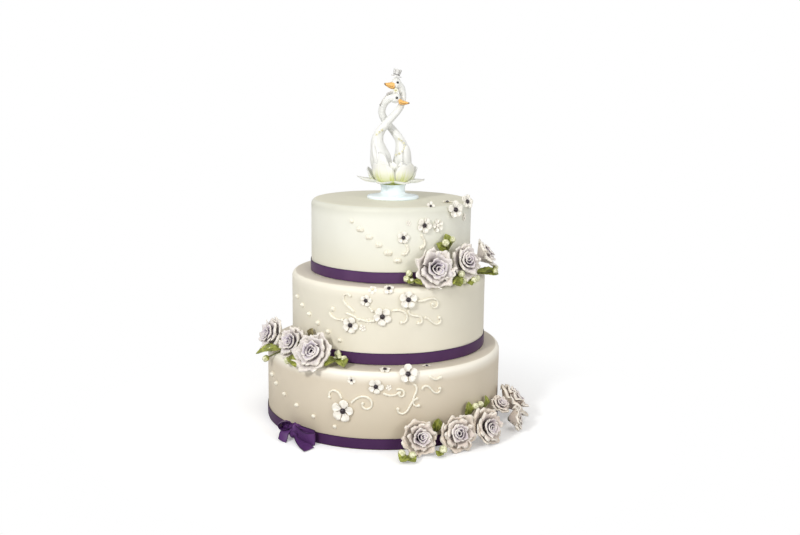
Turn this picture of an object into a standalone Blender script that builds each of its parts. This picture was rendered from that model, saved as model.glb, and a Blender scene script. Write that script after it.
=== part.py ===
"""Three-tier wedding cake: ivory icing, purple ribbons, sugar roses, and two entwined swans on top.

Sizes below are in millimetres and degrees, and become metres where the meshes are made. +Z is up,
the front of the cake looks along -Y, and the origin is under the middle of the bottom tier.
"""
import math
import random
from collections import namedtuple

import bmesh
import bpy
from mathutils import Matrix, Vector

MM = 0.001
GAP = 0.3  # air between two pieces that lie against each other
SIDES = 36  # facets round a tier and its ribbon
EDGE = 7.0  # radius of the icing's rounded upper edge
EDGE_STEPS = 3
QUARTER = EDGE * math.pi / 2  # length of that edge along the skin

Tier = namedtuple("Tier", "radius low high shift")
TIERS = {
    "bottom": Tier(152.4, 0.0, 96.0, 0.0),
    "middle": Tier(125.6, 96.0 + GAP, 191.0, 5.7),
    "top": Tier(103.0, 191.0 + GAP, 284.0, 8.1),
}

RIBBON_THICK = 0.7
RIBBONS = {  # tier: lower edge above the tier's foot, width
    "bottom": (0.8, 13.4),
    "middle": (0.8, 14.2),
    "top": (0.7, 13.8),
}

PIPE = 1.3  # radius of a piped line
PIPE_OUT = 0.35  # its middle, out from the icing
PIPE_STRIDE = 7.5  # longest straight run in a piped line
PIPE_TURN = 55  # and the most degrees that it turns between two points
DOT = 1.9  # radius of a piped dot at its foot
DOT_TIP = 0.6
DOT_TALL = 3.2
DOT_OUT = 0.4

# Piped scrolls: angle, drop below the rounded edge, first heading (0 right, 90 down), length,
# and the bend in degrees per millimetre at the start and at the end
SCROLLS = {
    "top": [
        (10.2, 38.0, 62, 15, 2, 16),
        (20.4, 26.6, 62, 19, -3, 16),
    ],
    "middle": [
        (-34.3, 28.5, 62, 20, -5.5, -2.0),
        (-23.6, 26.2, 5, 17, 2.0, 2.0),
        (-16.0, 31.5, 15, 17, 1.0, -6.0),
        (-19.4, 23.2, -127, 34, -4.7, 16),
        (-10.6, 16.2, 48, 5.5, 1.4, 1.0),
        (2.2, 19.6, -7, 32, 0.7, 11.7),
        (10.8, 19.4, 113, 31, -16.2, 22.8),
        (20.1, 29.9, 11, 31, 7.3, -18.5),
        (15.9, 8.9, 12, 44, -5.2, 18),
    ],
    "bottom": [
        (-18.9, 27.2, -103, 26, -4.0, -10.9),
        (-14.1, 31.4, -50, 52, 1.0, 12.0),
        (0.2, 18.3, 33, 17.5, -3.6, -3.6),
        (6.0, 13.6, -10, 24, 4.0, 24),
        (17.5, 15.2, -93, 33, 18.5, -20.4),
        (13.6, 8.4, 25, 34, 12.0, -15.5),
        (15.3, 25.8, 175, 36, -9.0, 15.5),
        (21.3, 0.9, 54, 15, -5.9, -7.2),
    ],
}

# Trail of piped dots that falls across each tier: first and last angle, first and last drop,
# and how much the dots draw apart along it
TRAILS = {
    "top": (-27.7, 4.2, 11.4, 57.1, 1.0),
    "middle": (-65.2, -27.8, 19.8, 60.6, 1.05),
    "bottom": (-66.7, -22.1, 24.1, 64.0, 1.3),
}
TRAIL_DOTS = 6

# Blossoms with a dark centre, each a piece of its own: angle, drop, radius, spin
BLOSSOMS = {
    "top": [(7.8, 28.9, 7.4, 10), (22.2, 14.8, 9.6, 30), (47.2, -1.0, 10.8, 0), (68.0, -6.5, 9.4, 20)],
    "middle": [
        (-12.5, 8.5, 7.2, 15),
        (10.4, 6.7, 10.6, 5),
        (-3.4, 27.2, 11.0, 40),
        (-21.2, 40.0, 10.2, 20),
        (-0.1, -6.5, 6.6, 0),
    ],
    "bottom": [(-18.1, 42.8, 13.4, 12), (10.9, -4.2, 11.4, 3), (-3.3, 10.2, 9.0, 25), (0.7, -12.5, 6.8, 0)],
}

BLOSSOM_PETALS = 5
BLOSSOM_THICK = 2.1  # height of the petals' rim above the icing
BLOSSOM_EYE = 3.0
BLOSSOM_GAP = GAP + 0.1

# Small blossoms that are one with the icing: angle, drop, radius
BUTTONS = {
    "top": [(28.3, -9.0, 5.6), (58.0, -25.0, 7.0), (32.6, 16.0, 8.0), (11.2, 11.4, 3.4), (61.0, 10.0, 5.0)],
    "middle": [(-9.0, -5.0, 5.4), (-14.2, 42.0, 4.6), (-10.7, 33.0, 4.0)],
    "bottom": [(-14.2, 3.9, 5.4), (22.5, -21.0, 5.2), (2.4, 11.0, 3.8)],
}

BUTTON_SINK = -1.2

Rose = namedtuple("Rose", "tier angle out height azimuth tilt spin radius depth")
ROSES = {  # place of the heart, the way it faces, and its size
    "rose_upper_1": Rose("top", 25.2, 21.5, 213.2, 14, 22, 10, 24.5, 18.0),
    "rose_upper_2": Rose("top", 49.2, 21.0, 216.0, 33, 22, 50, 20.5, 16.0),
    "rose_upper_3": Rose("top", 78.0, 23.0, 218.0, 92, 38, 20, 17.5, 15.0),
    "rose_left_1": Rose("middle", -36.4, 29.4, 113.4, -25, 30, 25, 23.0, 16.0),
    "rose_left_2": Rose("middle", -54.8, 21.0, 114.2, -42, 28, 60, 19.5, 15.0),
    "rose_left_3": Rose("middle", -73.0, 32.0, 114.0, -60, 24, 5, 21.5, 17.0),
    "rose_lower_1": Rose("bottom", 14.6, 21.5, 21.8, 9, 18, 40, 20.5, 16.0),
    "rose_lower_2": Rose("bottom", 30.2, 27.5, 22.4, 22, 16, 15, 22.0, 17.0),
    "rose_lower_3": Rose("bottom", 44.8, 30.0, 22.2, 42, 20, 65, 22.0, 17.0),
    "rose_lower_4": Rose("bottom", 64.0, 37.0, 16.4, 84, 6, 30, 15.5, 13.0),
    "rose_lower_5": Rose("bottom", 77.0, 23.5, 28.8, 95, 42, 0, 24.5, 17.0),
    "rose_lower_6": Rose("bottom", 62.0, 16.0, 34.0, 45, 50, 10, 13.0, 13.0),
}

ROSE_SIDES = 15
ROSE_PROFILE = [  # share of the radius, height as a share of the depth or radius, petals, notch
    (0.24, -0.94, 0, 1.0),
    (0.92, -0.30, 5, 0.86),
    (1.00, 0.02, 5, 0.84),
    (0.70, -0.12, 0, 1.0),
    (0.61, 0.14, 3, 0.86),
    (0.38, 0.02, 0, 1.0),
    (0.28, 0.20, 3, 0.86),
]
ROSE_WAVE = 0.05  # rise and fall of a petal's rim, as a share of the radius
ROSE_HEART = 0.06

# Leaf and bud sprays, as places round a tier: angle, out from the wall, height.
# All leaves and stems start at the root; each leaf is tip, width and each bud is place, radius
Spray = namedtuple("Spray", "tier root leaves buds")
SPRAYS = {
    "sprig_upper_1": Spray("top", (39.5, 4.2, 230), [((38, 3.4, 250.5), 13), ((30.5, 4.2, 240), 10)],
                           [((35.6, 9.5, 240.5), 4.2), ((42.6, 7, 243), 3.6)]),
    "sprig_upper_2": Spray("top", (15.0, 7, 196), [((9.8, 15, 193.8), 9)],
                           [((11.2, 8.5, 206), 3.8), ((9.6, 8, 199.5), 3.8)]),
    "sprig_upper_3": Spray("top", (38.2, 16, 198), [((38.2, 33, 189), 12)], [((44.2, 23, 194), 4.2)]),
    "sprig_upper_4": Spray("top", (52.5, 14, 195), [((46.5, 33, 187.5), 9)], [((56, 25, 193.5), 4.2)]),
    "sprig_upper_5": Spray("top", (66.5, 14, 194.5), [((73, 40, 192), 11)], [((77, 34, 194.5), 3.6)]),
    "sprig_left_1": Spray("middle", (-27.0, 6, 100), [((-20.2, 26, 98), 12), ((-29, 31, 97.6), 10)],
                          [((-27.4, 6.5, 108.5), 3.9), ((-23.2, 9, 104.2), 3.6)]),
    "sprig_left_2": Spray("middle", (-62, 25, 98.6), [((-69.0, 53, 91), 10)], [((-66.8, 42, 87), 4.0)]),
    "sprig_left_3": Spray("middle", (-50, 26, 99), [((-42.5, 39, 91), 11)], [((-48.6, 37, 96.5), 4.3)]),
    "sprig_left_4": Spray("middle", (-47.5, 3.2, 118), [((-46, 4, 133), 10)], []),
    "sprig_lower_1": Spray("bottom", (9.0, 31, 2.6), [((6.0, 45, 1.8), 12), ((10.8, 48, 2.0), 10)],
                           [((6.8, 33, 8.5), 4.4), ((10.4, 38, 8), 4.2)]),
    "sprig_lower_2": Spray("bottom", (23.6, 3.6, 20), [((25.2, 3.4, 36), 11)], []),
    "sprig_lower_3": Spray("bottom", (40.8, 4.2, 30), [((41.8, 3.6, 49), 10)], [((44.4, 8.5, 42.5), 4.2)]),
    "sprig_lower_4": Spray("bottom", (52.8, 4.2, 33), [((54.5, 3.6, 49), 9)], [((49.4, 6, 41.5), 3.6)]),
    "sprig_lower_5": Spray("bottom", (22.3, 30, 2.6), [((19.8, 37, 1.8), 8)], [((22.4, 33, 8.6), 4.6)]),
}

LEAF_THICK = 1.0
LEAF_ROWS = 3
LEAF_ARCH = 0.06
LEAF_FOLD = 0.3
STEM = 0.8
SPRAY_KNOT = 1.6

# Bow on the bottom ribbon, in millimetres along it, out from it and up
BOW_ANGLE = -42.0
BOW_OUT = 5.8
BOW_HEIGHT = 11.8
BOW_THICK = 0.9
BOW_KNOT = (5.0, 4.2, 8.0)
BOW_NECK = 7.0  # width of each loop where it leaves the knot
BOW_STEPS = 8
BOW_LOOPS = [  # name, side, reach, depth, fall, drift outward along the loop, width
    ("loop_right", 1, 33.0, 1.6, -3.0, -0.12, 13.5),
    ("loop_left", -1, 21.0, 5.5, 0.6, 0.18, 11.5),
]
BOW_TAILS = [  # name, places, directions of the width, widths
    (
        "tail_right",
        [(2.0, 1.5, -3.5), (12.0, 5.5, -8.6), (25.0, 10.4, -10.4), (39.0, 15.5, -10.6)],
        [(-0.3, 0.9, 0.3), (-0.3, 1.0, 0.1), (-0.2, 1.0, 0.0), (0.05, 1.0, 0.0)],
        [7.0, 10.5, 13.5, 17.0],
    ),
    (
        "tail_left",
        [(-3.0, 2.0, -3.0), (-5.0, 8.5, -6.5), (-5.6, 13.0, -9.6), (-5.4, 17.5, -10.6)],
        [(1.0, 0.2, 0.3), (1.0, 0.3, 0.2), (1.0, 0.3, 0.1), (1.0, 0.3, 0.0)],
        [7.0, 11.0, 14.5, 16.5],
    ),
]

# Topper, measured from the middle of the icing under it
TOPPER_X = 10.0
TOPPER_FOOT = 284.0 + GAP
PEDESTAL_SIDES = 20
PEDESTAL = [  # radius, height, down its outer side
    (0, 18.0), (16.9, 18.0), (16.9, 16.8), (15.6, 16.0), (15.4, 9.0), (17.0, 6.4),
    (29.0, 4.0), (33.0, 3.2), (33.4, 0.0), (0, 0.0),
]
LILY_HEIGHT = 18.6
LILY_SIDES = 30
LILY_FOOT = (14.0, -0.25)  # radius and height of the flat foot, over the pedestal
LILY_FLOOR = (20.0, 1.9)  # where the flat petals join the cup
CUP_FOOT = (25.0, 4.0)
CUP_INSIDE = (22.0, 3.8)
CUP_LOW = 9.0  # the cup's height between two petals
CUP_WALL = 1.2
POD_RADIUS = 10.5
POD_TOP = 6.6
FLAT_SPREAD = 31  # half of each flat petal's width, in degrees
CUP_SPREAD = 37
FLAT_PETALS = [  # azimuth, reach, rise of the tip
    (-91, 46, 8.0), (-32, 36, 2.6), (31, 36, 2.4), (88, 40, 4.5), (147, 37, 5.5), (-149, 38, 6.0),
]
CUP_PETALS = [(-28, 31.5, 31), (42, 30.0, 25), (105, 30.5, 20), (-105, 33.5, 19), (175, 28.0, 26)]
HAT_LEAN = math.radians(14)
HAT_SIDES = 12
HAT_PLACE = (2.4, -0.5, 153.6)
HAT = [(0, 9.4), (4.9, 9.4), (3.6, 1.2), (6.8, 0.8), (6.8, 0), (0, 0)]

# Swans as stations from tail to crown: right, back, up, radius
GROOM_STATIONS = [
    (-12.5, -5.0, 26.2, 9.5),
    (-14.5, -5.0, 38.0, 12.5),
    (-16.4, -5.0, 51.0, 13.6),
    (-19.0, -5.2, 62.0, 10.6),
    (-20.6, -5.6, 73.0, 8.0),
    (-17.5, -6.2, 84.5, 6.3),
    (-8.0, -6.4, 96.5, 5.1),
    (2.5, -4.0, 108.0, 4.5),
    (9.2, 1.5, 117.5, 4.3),
    (11.4, 5.0, 128.5, 4.3),
    (9.0, 4.0, 139.5, 4.8),
    (4.2, 1.0, 145.0, 5.2),
]
BRIDE_STATIONS = [
    (11.0, 7.5, 26.2, 8.6),
    (12.0, 7.5, 35.0, 11.2),
    (11.8, 7.0, 48.0, 11.8),
    (11.3, 7.0, 62.0, 9.0),
    (7.8, 7.2, 74.5, 6.2),
    (-0.5, 7.4, 86.0, 5.2),
    (-10.0, 7.0, 97.0, 4.8),
    (-15.2, 4.0, 108.5, 4.7),
    (-12.8, 0.0, 118.5, 4.6),
    (-7.0, -3.0, 125.6, 5.0),
    (-0.5, -4.6, 127.6, 5.4),
]
GROOM_HEAD = ((2.6, 0.0, 145.6), (6.3, 5.0, 7.2))  # middle, half sizes
GROOM_BEAK = ((0.5, -0.6, 142.6), (-12.2, -1.6, 144.4), 4.3)  # root, tip, radius
BRIDE_HEAD = ((1.8, -5.0, 126.9), (6.8, 5.2, 6.5))
BRIDE_BEAK = ((6.0, -6.0, 123.2), (19.4, -7.4, 120.9), 3.5)
BEAK_TAPER = (1.0, 0.7, 0.22)
BRIDE_BEADS = [  # sugar flowers: place, radius
    ((2.1, -4.6, 134.0), 2.2),
    ((-6.6, -3.4, 130.8), 2.4),
    ((-9.6, -2.6, 126.6), 2.2),
    ((10.6, 1.6, 73.0), 1.9),
    ((14.6, 1.7, 67.0), 1.8),
    ((12.0, -1.0, 60.5), 1.8),
]


def srgb(red, green, blue):
    """Colour picked on screen, 0 to 255, as the linear values a material takes."""
    def linear(value):
        value /= 255
        return value / 12.92 if value <= 0.04045 else ((value + 0.055) / 1.055) ** 2.4
    return (linear(red), linear(green), linear(blue), 1.0)


def material(name, colour, roughness):
    shade = bpy.data.materials.new(name)
    shade.use_nodes = True
    principled = shade.node_tree.nodes["Principled BSDF"]
    principled.inputs["Base Color"].default_value = colour
    principled.inputs["Roughness"].default_value = roughness
    principled.inputs["Metallic"].default_value = 0.0
    shade.diffuse_color = colour
    return shade


def around(tier_name, angle, out, height):
    """Point at an angle from the front, out from a tier's wall, at a height above the table."""
    tier = TIERS[tier_name]
    reach = tier.radius + out
    turn = math.radians(angle)
    return Vector((tier.shift + reach * math.sin(turn), -reach * math.cos(turn), height)) * MM


def on_icing(tier_name, angle, drop, out=0.0):
    """Point on a tier's skin. Drop runs down the wall, and is negative over the edge and on top."""
    tier = TIERS[tier_name]
    if drop >= 0:
        reach, height = tier.radius + out, tier.high - EDGE - drop
    elif drop > -QUARTER:
        lean = -drop / EDGE
        reach = tier.radius - EDGE + (EDGE + out) * math.cos(lean)
        height = tier.high - EDGE + (EDGE + out) * math.sin(lean)
    else:
        reach, height = tier.radius - EDGE + drop + QUARTER, tier.high + out
    turn = math.radians(angle)
    return Vector((tier.shift + reach * math.sin(turn), -reach * math.cos(turn), height)) * MM


def beside(tier_name, angle, drop, right, down):
    """Angle and drop of a point some millimetres to the right of and below another."""
    tier = TIERS[tier_name]
    reach = tier.radius if drop > -QUARTER else tier.radius - EDGE + drop + QUARTER
    return angle + math.degrees(right / reach), drop + down


def add_object(name, mesh, shade=None):
    thing = bpy.data.objects.new(name, mesh)
    if shade:
        mesh.materials.append(shade)
    CAKE.objects.link(thing)
    return thing


def finish(thing, shade=None, smooth=True):
    """Give a finished solid its one material and its shading."""
    thing.data.materials.clear()
    if shade:
        thing.data.materials.append(shade)
    if smooth:
        thing.data.shade_smooth()
        thing.data.set_sharp_from_angle(angle=math.radians(40))
    else:
        thing.data.shade_flat()
    return thing


def from_bmesh(name, shape, shade=None):
    bmesh.ops.recalc_face_normals(shape, faces=shape.faces)
    mesh = bpy.data.meshes.new(name)
    shape.to_mesh(mesh)
    shape.free()
    return finish(add_object(name, mesh), shade)


def as_mesh(thing, weld=0.01):
    """Replace an object by the mesh that its curve or modifiers make, points nearer than weld joined."""
    bpy.context.view_layer.update()
    evaluated = thing.evaluated_get(bpy.context.evaluated_depsgraph_get())
    mesh = bpy.data.meshes.new_from_object(evaluated)
    shape = bmesh.new()
    shape.from_mesh(mesh)
    bmesh.ops.remove_doubles(shape, verts=shape.verts, dist=weld * MM)
    shape.to_mesh(mesh)
    shape.free()
    solid = bpy.data.objects.new(thing.name, mesh)
    solid.matrix_world = thing.matrix_world
    name = thing.name
    bpy.data.objects.remove(thing)
    solid.name = name
    CAKE.objects.link(solid)
    return solid


def fuse(base, extras):
    """Join pieces to a base by one Boolean union, apply it, and drop the joined pieces.

    The weld is finer here, so that it closes no thin sliver that the union leaves.
    """
    joined = bpy.data.collections.new(base.name + "_joined")
    CUTTERS.children.link(joined)
    for piece in extras:
        CAKE.objects.unlink(piece)
        joined.objects.link(piece)
    union = base.modifiers.new("joined", "BOOLEAN")
    union.operation = "UNION"
    union.operand_type = "COLLECTION"
    union.collection = joined
    union.use_self = True
    solid = as_mesh(base, weld=0.0001)
    for piece in list(joined.objects):
        bpy.data.objects.remove(piece)
    bpy.data.collections.remove(joined)
    return solid


def turned(name, profile, shade, steps, centre=(0.0, 0.0, 0.0)):
    """Solid of revolution from (radius, height) points that run down its outer side."""
    shape = bmesh.new()
    points = [shape.verts.new((radius * MM, 0.0, height * MM)) for radius, height in profile]
    closed = profile[0][0] > 0
    for index in range(len(points) - (0 if closed else 1)):
        shape.edges.new((points[index], points[(index + 1) % len(points)]))
    mesh = bpy.data.meshes.new(name)
    shape.to_mesh(mesh)
    shape.free()
    thing = add_object(name, mesh, shade)
    thing.location = Vector(centre) * MM
    screw = thing.modifiers.new("turn", "SCREW")
    screw.steps = steps
    screw.render_steps = steps
    screw.use_merge_vertices = True
    screw.merge_threshold = 0.00001
    screw.use_smooth_shade = True
    return thing


def loft(name, rings, first, last, shade=None):
    """Closed solid through rings of equal count, closed by a point at each end."""
    shape = bmesh.new()
    loops = [[shape.verts.new(point) for point in ring] for ring in rings]
    count = len(rings[0])
    for low, high in zip(loops, loops[1:]):
        for index in range(count):
            after = (index + 1) % count
            shape.faces.new((low[index], low[after], high[after], high[index]))
    for loop, tip in ((loops[0], first), (loops[-1], last)):
        point = shape.verts.new(tip)
        for index in range(count):
            shape.faces.new((loop[index], loop[(index + 1) % count], point))
    return from_bmesh(name, shape, shade)


def tube(name, points, radii, sides):
    """Solid tube through points, with its own radius at each."""
    curve = bpy.data.curves.new(name, "CURVE")
    curve.dimensions = "3D"
    curve.bevel_depth = MM
    curve.bevel_resolution = sides // 2 - 2
    curve.use_fill_caps = True
    line = curve.splines.new("POLY")
    line.points.add(len(points) - 1)
    for knot, place, radius in zip(line.points, points, radii):
        knot.co = (*place, 1.0)
        knot.radius = radius
    thing = bpy.data.objects.new(name, curve)
    CAKE.objects.link(thing)
    return as_mesh(thing)


def ball(name, centre, size, sides, rows, matrix=None):
    """Round or oval solid: size is its half-width along each axis."""
    shape = bmesh.new()
    bmesh.ops.create_uvsphere(shape, u_segments=sides, v_segments=rows, radius=1.0)
    stretch = Matrix.Diagonal((*[value * MM for value in size], 1.0))
    place = Matrix.Translation(centre) @ (matrix.to_4x4() if matrix else Matrix.Identity(4))
    bmesh.ops.transform(shape, matrix=place @ stretch, verts=shape.verts)
    return from_bmesh(name, shape)


def peak(name, place, shift):
    """Piped dot that stands on a tier's wall and ends in a soft point."""
    shape = bmesh.new()
    bmesh.ops.create_cone(shape, cap_ends=True, segments=4,
                          radius1=DOT * MM, radius2=DOT_TIP * MM, depth=DOT_TALL * MM)
    azimuth = math.degrees(math.atan2(place.x - shift * MM, -place.y))
    outward = Matrix.Translation((0, 0, DOT_OUT * MM))
    matrix = Matrix.Translation(place) @ facing(azimuth, 0).to_4x4() @ outward
    bmesh.ops.transform(shape, matrix=matrix, verts=shape.verts)
    return from_bmesh(name, shape)


def facing(azimuth, tilt, spin=0.0):
    """Rotation whose +Z looks out at an azimuth from the front, tilted up, turned about itself."""
    turn = Matrix.Rotation(math.radians(azimuth), 3, "Z")
    rise = Matrix.Rotation(math.radians(90 - tilt), 3, "X")
    return turn @ rise @ Matrix.Rotation(math.radians(spin), 3, "Z")


def smooth_path(stations, between):
    """Points with radii on a Catmull-Rom curve through stations."""
    places = [Vector(station) for station in stations]
    places = [places[0] * 2 - places[1], *places, places[-1] * 2 - places[-2]]
    path = []
    for index in range(1, len(places) - 2):
        a, b, c, d = places[index - 1:index + 3]
        for step in range(between):
            t = step / between
            path.append(0.5 * (2 * b + (c - a) * t + (2 * a - 5 * b + 4 * c - d) * t * t
                               + (3 * b - a - 3 * c + d) * t ** 3))
    path.append(places[-2])
    return path


def scroll_points(tier_name, angle, drop, heading, length, bend, last_bend):
    """Points on the icing along a line whose bend changes evenly, closer where it curls."""
    steps = round(length)
    stride = length / steps
    right = down = travelled = swept = 0.0
    points = [on_icing(tier_name, angle, drop, PIPE_OUT)]
    for step in range(steps):
        along = (step + 0.5) * stride
        course = math.radians(heading + bend * along + (last_bend - bend) * along ** 2 / (2 * length))
        right += stride * math.cos(course)
        down += stride * math.sin(course)
        travelled += stride
        swept += stride * abs(bend + (last_bend - bend) * along / length)
        due = (travelled > PIPE_STRIDE or swept > PIPE_TURN) and along < length - 2 * PIPE
        if due or step == steps - 1:
            points.append(on_icing(tier_name, *beside(tier_name, angle, drop, right, down), PIPE_OUT))
            travelled = swept = 0.0
    return points


def petal_reach(turn, petals, notch):
    """How far a flower's outline reaches at a turn, 1 at the middle of a petal."""
    across = (turn * petals / math.tau) % 1.0
    return notch + (1 - notch) * math.sin(math.pi * across) ** 0.5


def blossom_rings(tier_name, angle, drop, radius, spin, sides, sink):
    """Rings of a five-petalled flower that follows the icing, from its back to its centre."""
    bends = drop - radius < 0 < drop + radius + QUARTER

    def ring(share, out, lobed):
        points = []
        for side in range(sides):
            turn = math.tau * side / sides
            reach = radius * share * (petal_reach(turn, BLOSSOM_PETALS, 0.6) if lobed else 1.0)
            turn += math.radians(spin)
            place = beside(tier_name, angle, drop, reach * math.sin(turn), -reach * math.cos(turn))
            points.append(on_icing(tier_name, *place, out))
        return points

    lift = 0.5 if bends else 0.0
    rings = [
        ring(0.94, sink + lift * 0.6, True),
        ring(1.0, BLOSSOM_THICK, True),
        ring(0.26, BLOSSOM_THICK - 0.6, False),
    ]
    if sink < 0:
        rings.pop()
    elif bends:
        rings.insert(0, ring(0.48, sink + lift, True))
        rings[-1] = ring(0.6, BLOSSOM_THICK - 0.2, True)
    back = on_icing(tier_name, angle, drop, sink + lift)
    return rings, back, on_icing(tier_name, angle, drop, BLOSSOM_EYE)


def rose_rings(rose, draw):
    """Rings of a rose from its foot, over the rim of the outer petals, in to its heart."""
    shift = [draw.uniform(0, math.tau) for _ in ROSE_PROFILE]
    rings = []
    for level, (share, height, petals, notch) in enumerate(ROSE_PROFILE):
        ring = []
        for side in range(ROSE_SIDES):
            turn = math.tau * side / ROSE_SIDES
            reach = rose.radius * share
            rise = height * (rose.depth if height < 0 else rose.radius)
            if petals:
                reach *= petal_reach(turn + (0 if petals == 5 else shift[level]), petals, notch)
                rise += rose.radius * ROSE_WAVE * math.sin(2 * turn + shift[3])
            ring.append(Vector((reach * math.sin(turn), reach * math.cos(turn), rise)) * MM)
        rings.append(ring)
    return rings, Vector((0, 0, -rose.depth * MM)), Vector((0, 0, rose.radius * ROSE_HEART * MM))


def thickened(name, shape, thickness):
    """Solid of even thickness on an open surface, with both faces split alike."""
    bmesh.ops.triangulate(shape, faces=shape.faces)
    mesh = bpy.data.meshes.new(name)
    shape.to_mesh(mesh)
    shape.free()
    thing = add_object(name, mesh)
    shell = thing.modifiers.new("thickness", "SOLIDIFY")
    shell.thickness = thickness * MM
    shell.offset = 0.0
    return as_mesh(thing)


def leaf(name, foot, tip, width, up):
    """Thin toothed leaf, folded along its rib and drooping at the tip."""
    axis = tip - foot
    length = axis.length
    axis.normalize()
    side = axis.cross(up).normalized()
    normal = side.cross(axis).normalized()
    half = width * MM / 2
    shape = bmesh.new()
    grid = []
    for row in range(LEAF_ROWS + 1):
        share = row / LEAF_ROWS
        middle = foot + axis * length * share + normal * math.sin(math.pi * share) * LEAF_ARCH * length
        if row == LEAF_ROWS:
            grid.append([shape.verts.new(middle)])
            continue
        spread = half * math.sin(math.pi * (0.1 + 0.9 * share)) ** 0.8 * (1.0 if row % 2 else 0.8)
        outer = normal * spread * LEAF_FOLD
        grid.append([shape.verts.new(place) for place in
                     (middle - side * spread + outer, middle, middle + side * spread + outer)])
    for low, high in zip(grid, grid[1:]):
        if len(high) == 1:
            shape.faces.new((low[0], low[1], high[0]))
            shape.faces.new((low[1], low[2], high[0]))
            continue
        for index in range(2):
            shape.faces.new((low[index], low[index + 1], high[index + 1], high[index]))
    return thickened(name, shape, LEAF_THICK)


def strip(name, centres, across, widths, thickness):
    """Band of ribbon through centre points, each with its own width direction and width."""
    shape = bmesh.new()
    rows = []
    for middle, direction, width in zip(centres, across, widths):
        half = direction.normalized() * width * MM / 2
        rows.append([shape.verts.new(middle - half), shape.verts.new(middle + half)])
    for low, high in zip(rows, rows[1:]):
        shape.faces.new((low[0], low[1], high[1], high[0]))
    return thickened(name, shape, thickness)


def build_tier(name, shade):
    """Tier of iced cake with its piped scrolls, dots and small blossoms."""
    tier = TIERS[name]
    inner, shoulder = tier.radius - EDGE, tier.high - EDGE
    profile = [(0.0, tier.high)]
    for step in range(EDGE_STEPS + 1):
        lean = math.pi / 2 * (1 - step / EDGE_STEPS)
        profile.append((inner + EDGE * math.cos(lean), shoulder + EDGE * math.sin(lean)))
    profile += [(tier.radius, tier.low), (0.0, tier.low)]
    body = as_mesh(turned("tier_" + name, profile, shade, SIDES, (tier.shift, 0, 0)))
    piped = []
    for number, scroll in enumerate(SCROLLS[name]):
        points = scroll_points(name, *scroll)
        piped.append(tube(f"scroll_{name}_{number}", points, [PIPE] * len(points), 4))
        piped.append(peak(f"scroll_dot_{name}_{number}", points[-1], tier.shift))
    first, last, high, low, spacing = TRAILS[name]
    for number in range(TRAIL_DOTS):
        share = number / (TRAIL_DOTS - 1)
        angle, drop = first + (last - first) * share ** spacing, high + (low - high) * share
        for back in (0, 180):  # the trail is repeated on the far side
            place = on_icing(name, angle + back, drop)
            piped.append(peak(f"dot_{name}_{number}_{back}", place, tier.shift))
    for number, (angle, drop, radius) in enumerate(BUTTONS[name]):
        rings, first_tip, last_tip = blossom_rings(name, angle, drop, radius, 20 * number, 10, BUTTON_SINK)
        piped.append(loft(f"button_{name}_{number}", rings, first_tip, last_tip))
    return finish(fuse(body, piped), shade, smooth=False)


def build_bow(shade):
    """Bow with two open loops and two tails, tied over the bottom ribbon."""
    turn = math.radians(BOW_ANGLE)
    right = Vector((math.cos(turn), math.sin(turn), 0))
    out = Vector((math.sin(turn), -math.cos(turn), 0))
    up = Vector((0, 0, 1))
    centre = around("bottom", BOW_ANGLE, BOW_OUT, BOW_HEIGHT)

    def place(along, away, rise):
        return centre + (right * along + out * away + up * rise) * MM

    pieces = []
    for name, side, reach, depth, fall, drift, width in BOW_LOOPS:
        centres, across, widths = [], [], []
        for step in range(BOW_STEPS + 1):
            share = step / BOW_STEPS
            along = 1.0 + reach * math.sin(math.pi * share)
            away = depth * math.sin(math.tau * share) + 1.3 * math.cos(math.pi * share) + drift * along
            centres.append(place(side * along, away, fall * math.sin(math.pi * share)))
            across.append(up + out * 0.15)
            widths.append(BOW_NECK + (width - BOW_NECK) * math.sin(math.pi * share) ** 0.8)
        pieces.append(strip(name, centres, across, widths, BOW_THICK))
    for name, places, directions, widths in BOW_TAILS:
        centres = [place(*spot) for spot in places]
        across = [right * a + out * b + up * c for a, b, c in directions]
        pieces.append(strip(name, centres, across, widths, BOW_THICK))
    upright = facing(BOW_ANGLE, 0) @ Matrix.Rotation(math.pi / 2, 3, "X")
    knot = ball("bow", centre, BOW_KNOT, 8, 6, upright)
    return finish(fuse(knot, pieces), shade)


def nearest_petal(azimuth, petals, half_width):
    """Reach and rise of the petal nearest an azimuth, and how near its middle that is, 0 to 1."""
    def apart(petal):
        return abs((azimuth - petal[0] + 180) % 360 - 180)
    middle, reach, rise = min(petals, key=apart)
    return reach, rise, max(0.0, math.cos(math.pi / 2 * apart((middle,)) / half_width)) ** 0.6


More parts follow.
